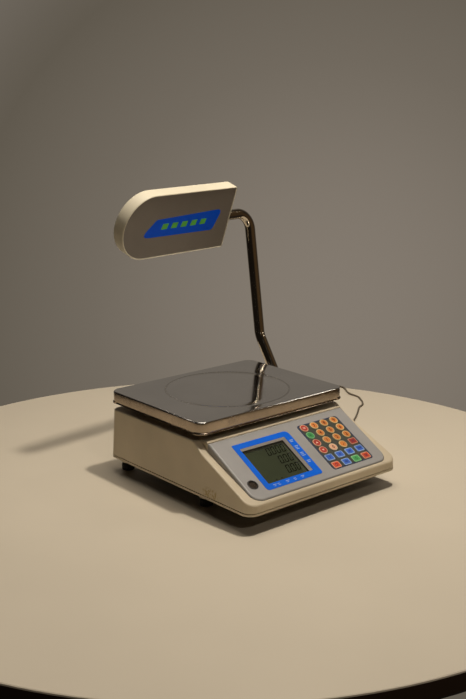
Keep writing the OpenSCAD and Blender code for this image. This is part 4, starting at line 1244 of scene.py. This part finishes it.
# smoked cover with turned rings
prof = [(-1.5, 0.5), (-1.5, 7.58), (-0.8, 7.58), (-0.8, 6.1), (-0.95, 5.9), (-0.95, 5.6), (-0.8, 5.4), (-0.8, 3.6), (-0.95, 3.4), (-0.95, 3.1), (-0.8, 2.9), (-0.8, 0.5)]
lathe(b, prof, lambda w, u, v: con(LV[0] + u, LV[1] + v, w), 48, [1] * 5 + [0] * 1 + [1] * 3 + [0] * 1 + [1])
b.obj("level_ring", ["black", "smoke"], BODY, ("level_housing",), "black_plastic", sharp=35)
b = Builder()
prof = [(LZ - 14, 5.4), (LZ - 13.6, 6.0), (LZ - 8.6, 6.0), (LZ - 8.1, 5.7), (LZ - 7.9, 5.0), (LZ - 7.8, 3.0)]
lathe(b, prof, lambda z, u, v: W(LV[0] + u, LY + 3.4 + v, z), 40, 0)
# the bubble and the target ring on the vial's crown
prof = [(LZ - 7.78, 2.0), (LZ - 7.6, 1.7), (LZ - 7.48, 1.0)]
lathe(b, prof, lambda z, u, v: W(LV[0] + 0.6 + u, LY + 3.2 + v, z), 24, 1)
rg = [[W(LV[0] + u, LY + 3.4 + v, z) for u, v in circle(0, 0, q, 36)] for q, z in ((3.3, LZ - 7.76), (2.8, LZ - 7.74))]
b.loft(rg, 2)
b.obj("level_bubble_vial", ["vial", "bubble", "black"], BODY, ("level_vial",), "vial", sharp=40)

# ---------------------------------------------------------------- pan
b = Builder()
PW, PD, PZ = 150.0, 117.0, 118.9
pan_out = lambda e: rrect(-PW + e, PW - e, -PD + e, PD - e, 17 - e, 0, 12)


def dense(pts, long=8.0):
    out = []
    for i, p in enumerate(pts):
        q = pts[(i + 1) % len(pts)]
        k = max(1, int(round(math.hypot(q[0] - p[0], q[1] - p[1]) / long)))
        out += [(p[0] + (q[0] - p[0]) * j / k, p[1] + (q[1] - p[1]) * j / k) for j in range(k)]
    return out


base_pts = dense(pan_out(0))


def pan_ring(e, z, extra=0.0):
    """The pan's outline moved in by e at height z, point for point with base_pts."""
    out = []
    for x, y in base_pts:
        ix, iy = max(min(x, PW - 17), -PW + 17), max(min(y, PD - 17), -PD + 17)
        dx, dy = x - ix, y - iy
        if abs(dx) > 1e-6 and abs(dy) > 1e-6:
            d = math.hypot(dx, dy)
            k = (d - e) / d
            out.append(W(ix + dx * k, iy + dy * k, z))
        elif abs(abs(x) - PW) < 1e-6:
            out.append(W(x - math.copysign(e, x), y, z))
        else:
            out.append(W(x, y - math.copysign(e, y), z))
    return out


RE = 1.9
rings = []
RB = 100.0
dirs = [Vector((x, y)).normalized() for x, y in base_pts]
for r, dz in ((40, 0), (80, 0), (RB - 1.6, 0), (RB - 1.2, -0.06), (RB - 0.7, -0.2), (RB - 0.25, -0.28), (RB + 0.25, -0.28), (RB + 0.7, -0.2), (RB + 1.2, -0.06), (RB + 1.6, 0)):
    rings.append([W(d.x * r, d.y * r, PZ + dz) for d in dirs])
centre_ring = rings[0]
for t in (0.35, 0.7):
    rings.append([W(d.x * (RB + 1.6) * (1 - t) + x * (PW - 14) / PW * t, d.y * (RB + 1.6) * (1 - t) + y * (PD - 14) / PD * t, PZ) for d, (x, y) in zip(dirs, base_pts)])
rings.append(pan_ring(6, PZ))
rings += [pan_ring(RE * (1 - math.sin(math.pi / 2 * i / 7)), PZ - RE * (1 - math.cos(math.pi / 2 * i / 7))) for i in range(8)]
ZB = PZ - 19.5
rings += [pan_ring(0.0, PZ - 6), pan_ring(0.0, ZB + 4.4), pan_ring(0.05, ZB + 3.4), pan_ring(-0.35, ZB + 2.85), pan_ring(-1.05, ZB + 2.5), pan_ring(-1.45, ZB + 2.0), pan_ring(-1.6, ZB + 1.3), pan_ring(-1.5, ZB + 0.5), pan_ring(-1.1, ZB + 0.1), pan_ring(-0.5, ZB), pan_ring(0.2, ZB), pan_ring(0.8, ZB + 0.5), pan_ring(1.0, ZB + 1.2)]
rings += [pan_ring(1.0, PZ - 3), pan_ring(1.3, PZ - 1.5), pan_ring(2.2, PZ - 1.0), pan_ring(12, PZ - 1.0)]
rings += [[W(d.x * 60, d.y * 60, PZ - 1.0) for d in dirs]]
n_top = 20
b.loft(rings, [0, 0] + [2] * 7 + [0] * (n_top - 9) + [1] * (len(rings) - 1 - n_top))
b.fan(centre_ring)
b.fan(rings[-1], flip=True, mat=1)
b.obj("weighing_pan", ["pan", "pan_side", "pan_groove"], "pan", ("pan",), "pan_steel", sharp=45, weighted=False)

# ---------------------------------------------------------------- bent tube
PTS = [Vector(p) for p in ((112, 70.5, 42), (196, 70.5, 42), (196, 141.9, 152.4), (196, 173, 371))]
PTS.append(STUB - 42 * Vector((math.cos(math.radians(6.1)), math.sin(math.radians(6.1)), 0)))
BENDS = [0, 30, 45, 30, 0]


def tube_line():
    """(point, direction, how far through a bend, that bend's inner side) along the tube."""
    out = []
    prev_cut = 0.0
    for i in range(len(PTS) - 1):
        d = (PTS[i + 1] - PTS[i]).normalized()
        nd = (PTS[i + 2] - PTS[i + 1]).normalized() if i + 2 < len(PTS) else None
        cut_len = BENDS[i + 1] * math.tan(d.angle(nd) / 2) if nd is not None and BENDS[i + 1] else 0.0
        a, z = PTS[i] + d * prev_cut, PTS[i + 1] - d * cut_len
        n = max(2, int((z - a).length / 4))
        for j in range(n + (0 if cut_len else 1)):
            out.append((a + (z - a) * j / n, d, None, None))
        if cut_len:
            side = (nd - nd.dot(d) * d).normalized()
            c = z + side * BENDS[i + 1]
            ang = d.angle(nd)
            steps = max(10, int(ang / math.radians(3)))
            for j in range(steps):
                t = ang * j / steps
                p = c - side * BENDS[i + 1] * math.cos(t) + d * BENDS[i + 1] * math.sin(t)
                dd = d * math.cos(t) + side * math.sin(t)
                inn = (c - p).normalized()
                out.append((p, dd, (i + 1, j / steps), inn))
        prev_cut = cut_len
    return out


TL = tube_line()
b = Builder()
NT = 44
ref = Vector((0, 0, 1))
rings_o, rings_i = [], []
u = ref - ref.dot(TL[0][1]) * TL[0][1]
u.normalize()
for p, d, bend, inn in TL:
    u = (u - u.dot(d) * d).normalized()
    v = d.cross(u)
    ro, ri = [], []
    for i in range(NT):
        a = 2 * math.pi * i / NT
        n = u * math.cos(a) + v * math.sin(a)
        r = 9.25
        if bend and bend[0] == 2:
            # pressed bend: the inner side is slightly flattened, with two shallow wrinkles
            k = max(0.0, n.dot(inn)) ** 2
            env = math.sin(math.pi * bend[1]) ** 0.7 if 0 < bend[1] < 1 else 0.0
            r -= k * env * (0.75 + 0.7 * math.cos(bend[1] * math.pi * 6))
        ro.append(p + n * r)
        ri.append(p + n * 8.05)
    rings_o.append([W(*q) for q in ro])
    rings_i.append([W(*q) for q in ri])
b.loft(rings_o)
b.loft([rings_o[-1], rings_i[-1]])
b.loft(rings_i[::-1])
b.loft([rings_i[0], rings_o[0]])
b.obj("bent_tube", ["tube"], BODY, ("pole_tube",), "polished_tube", sharp=50, weighted=False)

# ---------------------------------------------------------------- display head
HL, HH, HM = 244.0, 115.4, 2.9
HR = HH / 2


def head_outline(e, n=28, m=6):
    """The head's face, round at its left end, as (x, z), moved in by e; anticlockwise as seen from the front."""
    cx = -HL + HR
    rc = max(4 - e, 0.3)
    out = arc(cx, HM, HR - e, 90, 270, n)
    k = 30
    x1 = -e - rc
    out += [(cx + (x1 - cx) * j / k, HM - HR + e) for j in range(1, k)]
    out += arc(x1, HM - HR + e + rc, rc, 270, 360, m)
    z0, z1 = HM - HR + e + rc, HM + HR - e - rc
    out += [(-e, z0 + (z1 - z0) * j / 10) for j in range(1, 10)]
    out += arc(x1, HM + HR - e - rc, rc, 0, 90, m)
    out += [(x1 + (cx - x1) * j / k, HM + HR - e) for j in range(1, k)]
    return out


def head_ring(e, y):
    return [hd(x, y, z) for x, z in head_outline(e)]


b = Builder()
lv = [(3.3, -11.2), (2.3, -11.2), (2.05, -12.2), (1.5, -12.65), (0.9, -12.7), (0.35, -12.3), (0.05, -11.4), (0.0, -10.0), (0.0, -2), (0.0, 5.0)]
RBK = 4.2
lv += [(RBK * (1 - math.cos(math.pi / 2 * i / 7)), 12.8 - RBK + RBK * math.sin(math.pi / 2 * i / 7)) for i in range(8)]
rings = [head_ring(e, y) for e, y in lv]
b.loft(rings)
rec = lambda g: [(x, z) for x, z in rrect(-196 - g, -46 + g, -22 - g, 36 + g, 3 + g, 0, 6)]
b.cap([rings[-1], [hd(x, 12.8, z) for x, z in rec(0.4)]])
b.loft([[hd(x, y, z) for x, z in rec(g)] for g, y in ((0.4, 12.8), (0.1, 12.6), (0.0, 12.2), (0.0, 10.4))])
b.cap([[hd(x, 10.4, z) for x, z in head_outline(2.4)], [hd(x, 10.4, z) for x, z in rec(0.0)]], flip=True)
b.loft([[hd(x, 10.4, z) for x, z in head_outline(2.4)], [hd(x, 8, z) for x, z in head_outline(2.4)], [hd(x, -8.8, z) for x, z in head_outline(2.4)], [hd(x, -9.6, z) for x, z in head_outline(3.3)], [hd(x, -11.2, z) for x, z in head_outline(3.3)]])
shell = b.obj("head_case", ["head_shell"], HEAD, ("head_shell",), "head_cream", sharp=36, weighted=False, merge=1e-5)
cut(shell, cutter(lambda s, u, v: hd(s, u, v), [(-9, 9.66), (-0.6, 9.66), (3, 11.5)]))
shell.data.shade_smooth()
shell.data.set_sharp_from_angle(angle=math.radians(36))
wnm = shell.modifiers.new("normals", "WEIGHTED_NORMAL")
wnm.keep_sharp = True

b = Builder()
lv = [(2.9, -7.6), (2.4, -9.7), (2.4, -11.6), (2.55, -11.95), (2.9, -12.1)]
rings = [head_ring(e, y) for e, y in lv]
b.loft(rings, 0)
b.cap([rings[-1]], mat=0)
b.loft([rings[0], head_ring(4.1, -7.6), head_ring(4.3, -10.2)], 0)
b.cap([head_ring(4.3, -10.2)], flip=True, mat=0)
# a plain rounded band on the panel, with five slanted marks in it


def rounded_poly(pts, r, n=6):
    out = []
    k = len(pts)
    for i in range(k):
        a, p, c = Vector(pts[i - 1]), Vector(pts[i]), Vector(pts[(i + 1) % k])
        d0, d1 = (a - p).normalized(), (c - p).normalized()
        half = d0.angle(d1) / 2
        t = r / math.tan(half)
        p0, p1 = p + d0 * t, p + d1 * t
        for j in range(n + 1):
            s = j / n
            out.append(tuple((1 - s) ** 2 * p0 + 2 * s * (1 - s) * p + s * s * p1))
    return out


BY = -12.14


def flat_on_head(b, pts, y, mat):
    front = [hd(x, y, z) for x, z in pts]
    back = [hd(x, y + 0.06, z) for x, z in pts]
    b.loft([back, front], mat)
    b.cap([front], mat=mat)


band_pts = rounded_poly([(BX, BZ) for BX, BZ in ((-174.7, 16.0), (-23.8, 21.8), (-37.7, -17.0), (-204.7, -15.4))], 9)
flat_on_head(b, band_pts, BY, 1)
for i in range(5):
    x = -161 + 22 * i
    flat_on_head(b, [(x, -3.0), (x + 13, -3.0), (x + 15.4, 7.0), (x + 2.4, 7.0)], BY - 0.04, 2)
b.obj("head_face", ["head_face", "badge", "badge_mark"], HEAD, ("head_front_panel",), "head_panel", sharp=36)

# ---------------------------------------------------------------- levelling feet
for node, fx, fy in (("foot_front_left", -126, -100.5), ("foot_front_right", 126, -100.5), ("foot_rear_left", -126, 104.5), ("foot_rear_right", 126, 104.5)):
    b = Builder()
    n = 120
    prof = [(0.0, 8.6, 0), (0.15, 9.3, 0), (0.6, 9.9, 0), (1.2, 10.4, 0.2), (1.7, 10.5, 1), (8.4, 10.5, 1), (9.3, 10.2, 0.9), (9.9, 9.6, 0.5), (10.2, 8.9, 0.2), (10.2, 5.6, 0), (10.5, 5.0, 0), (12.5, 5.0, 0), (12.5, 2.6, 0)]
    rings = []
    for z, r, k in prof:
        ring = []
        for i in range(n):
            a = 2 * math.pi * i / n
            q = abs(((a * 12 / (2 * math.pi)) % 1) - 0.5) * 2
            dip = max(0.0, 1 - (1 - q) / 0.42) if q > 0.58 else 0.0
            rr = r - 0.9 * k * smooth(dip)
            ring.append(T(fx + rr * math.cos(a), fy + rr * math.sin(a), z))
        rings.append(ring)
    b.loft(rings)
    b.fan(rings[0], flip=True)
    # grip grooves under the foot would not show; the threaded stud above
    stud = [(12.5, 2.4)]
    z = 12.7
    while z < 39.4:
        stud += [(z, 2.55), (z + 0.5, 3.0), (z + 1.0, 2.55)]
        z += 1.0
    stud += [(40.0, 2.5), (40.5, 2.0)]
    lathe(b, stud, lambda s, u, v: T(fx + u, fy + v, s), 32, 1)
    b.obj(node + "_view", ["rubber", "screw"], node, (node,), "black_rubber", sharp=40)

# ---------------------------------------------------------------- figures of the customer's display
b = Builder()


def head_figure(b, ch, x_left, z0, wd, ht, th, y=4.7):
    """A seven-segment figure seen from the head's back, so that x runs the other way."""
    g = th * 0.12
    hm = ht / 2
    shapes = {
        "a": [(th * 0.1 + g, ht), (wd - th * 0.1 - g, ht), (wd - th - g, ht - th), (th + g, ht - th)],
        "d": [(th + g, th), (wd - th - g, th), (wd - th * 0.1 - g, 0), (th * 0.1 + g, 0)],
        "g": [(th * 0.6, hm), (th, hm + th / 2), (wd - th, hm + th / 2), (wd - th * 0.6, hm), (wd - th, hm - th / 2), (th, hm - th / 2)],
        "f": [(0, ht - th * 0.1 - g), (th, ht - th - g), (th, hm + th / 2 + g), (th * 0.5, hm + g), (0, hm + th * 0.4)],
        "e": [(0, th * 0.1 + g), (0, hm - th * 0.4), (th * 0.5, hm - g), (th, hm - th / 2 - g), (th, th + g)],
        "b": [(wd, ht - th * 0.1 - g), (wd, hm + th * 0.4), (wd - th * 0.5, hm + g), (wd - th, hm + th / 2 + g), (wd - th, ht - th - g)],
        "c": [(wd, th * 0.1 + g), (wd - th, th + g), (wd - th, hm - th / 2 - g), (wd - th * 0.5, hm - g), (wd, hm - th * 0.4)],
    }
    for k in SEGS[ch]:
        pts = shapes[k]
        f = [hd(x_left - px - pz * SLANT, y, z0 + pz) for px, pz in pts]
        g2 = [hd(x_left - px - pz * SLANT, y - 0.05, z0 + pz) for px, pz in pts]
        b.loft([g2, f], 1)
        b.cap([f], mat=1)


cell = lambda e, y: [hd(x, y, z) for x, z in rrect(-189.5 + e, -52.5 - e, -21.5 + e, 35.5 - e, 1.0, 0, 4)]
rings = [cell(0.0, 10.32), cell(0.0, 10.36), cell(0.25, 10.38)]
b.loft(rings, 0)
b.cap([rings[-1]], mat=0)
b.cap([rings[0]], flip=True, mat=0)
for text, z0 in (("0.000", 17.5), ("0.00", -1.0), ("0.00", -19.0)):
    digits = text.replace(".", "")
    for i, ch in enumerate(digits):
        head_figure(b, ch, -140 + 11.5 * (len(digits) - i), z0, 8.6, 14.5, 1.5, 10.39)
    after = text.index(".")
    px = -140 + 11.5 * (len(digits) - after + 1) - 10.1
    ring = [hd(px - x, 10.39, z0 + 0.7 + z) for x, z in circle(0, 0, 0.85, 14)]
    b.cap([ring], mat=1)
b.obj("customer_cell", ["lcd", "lcd_ink"], HEAD, slot="lcd_panel", sharp=40)
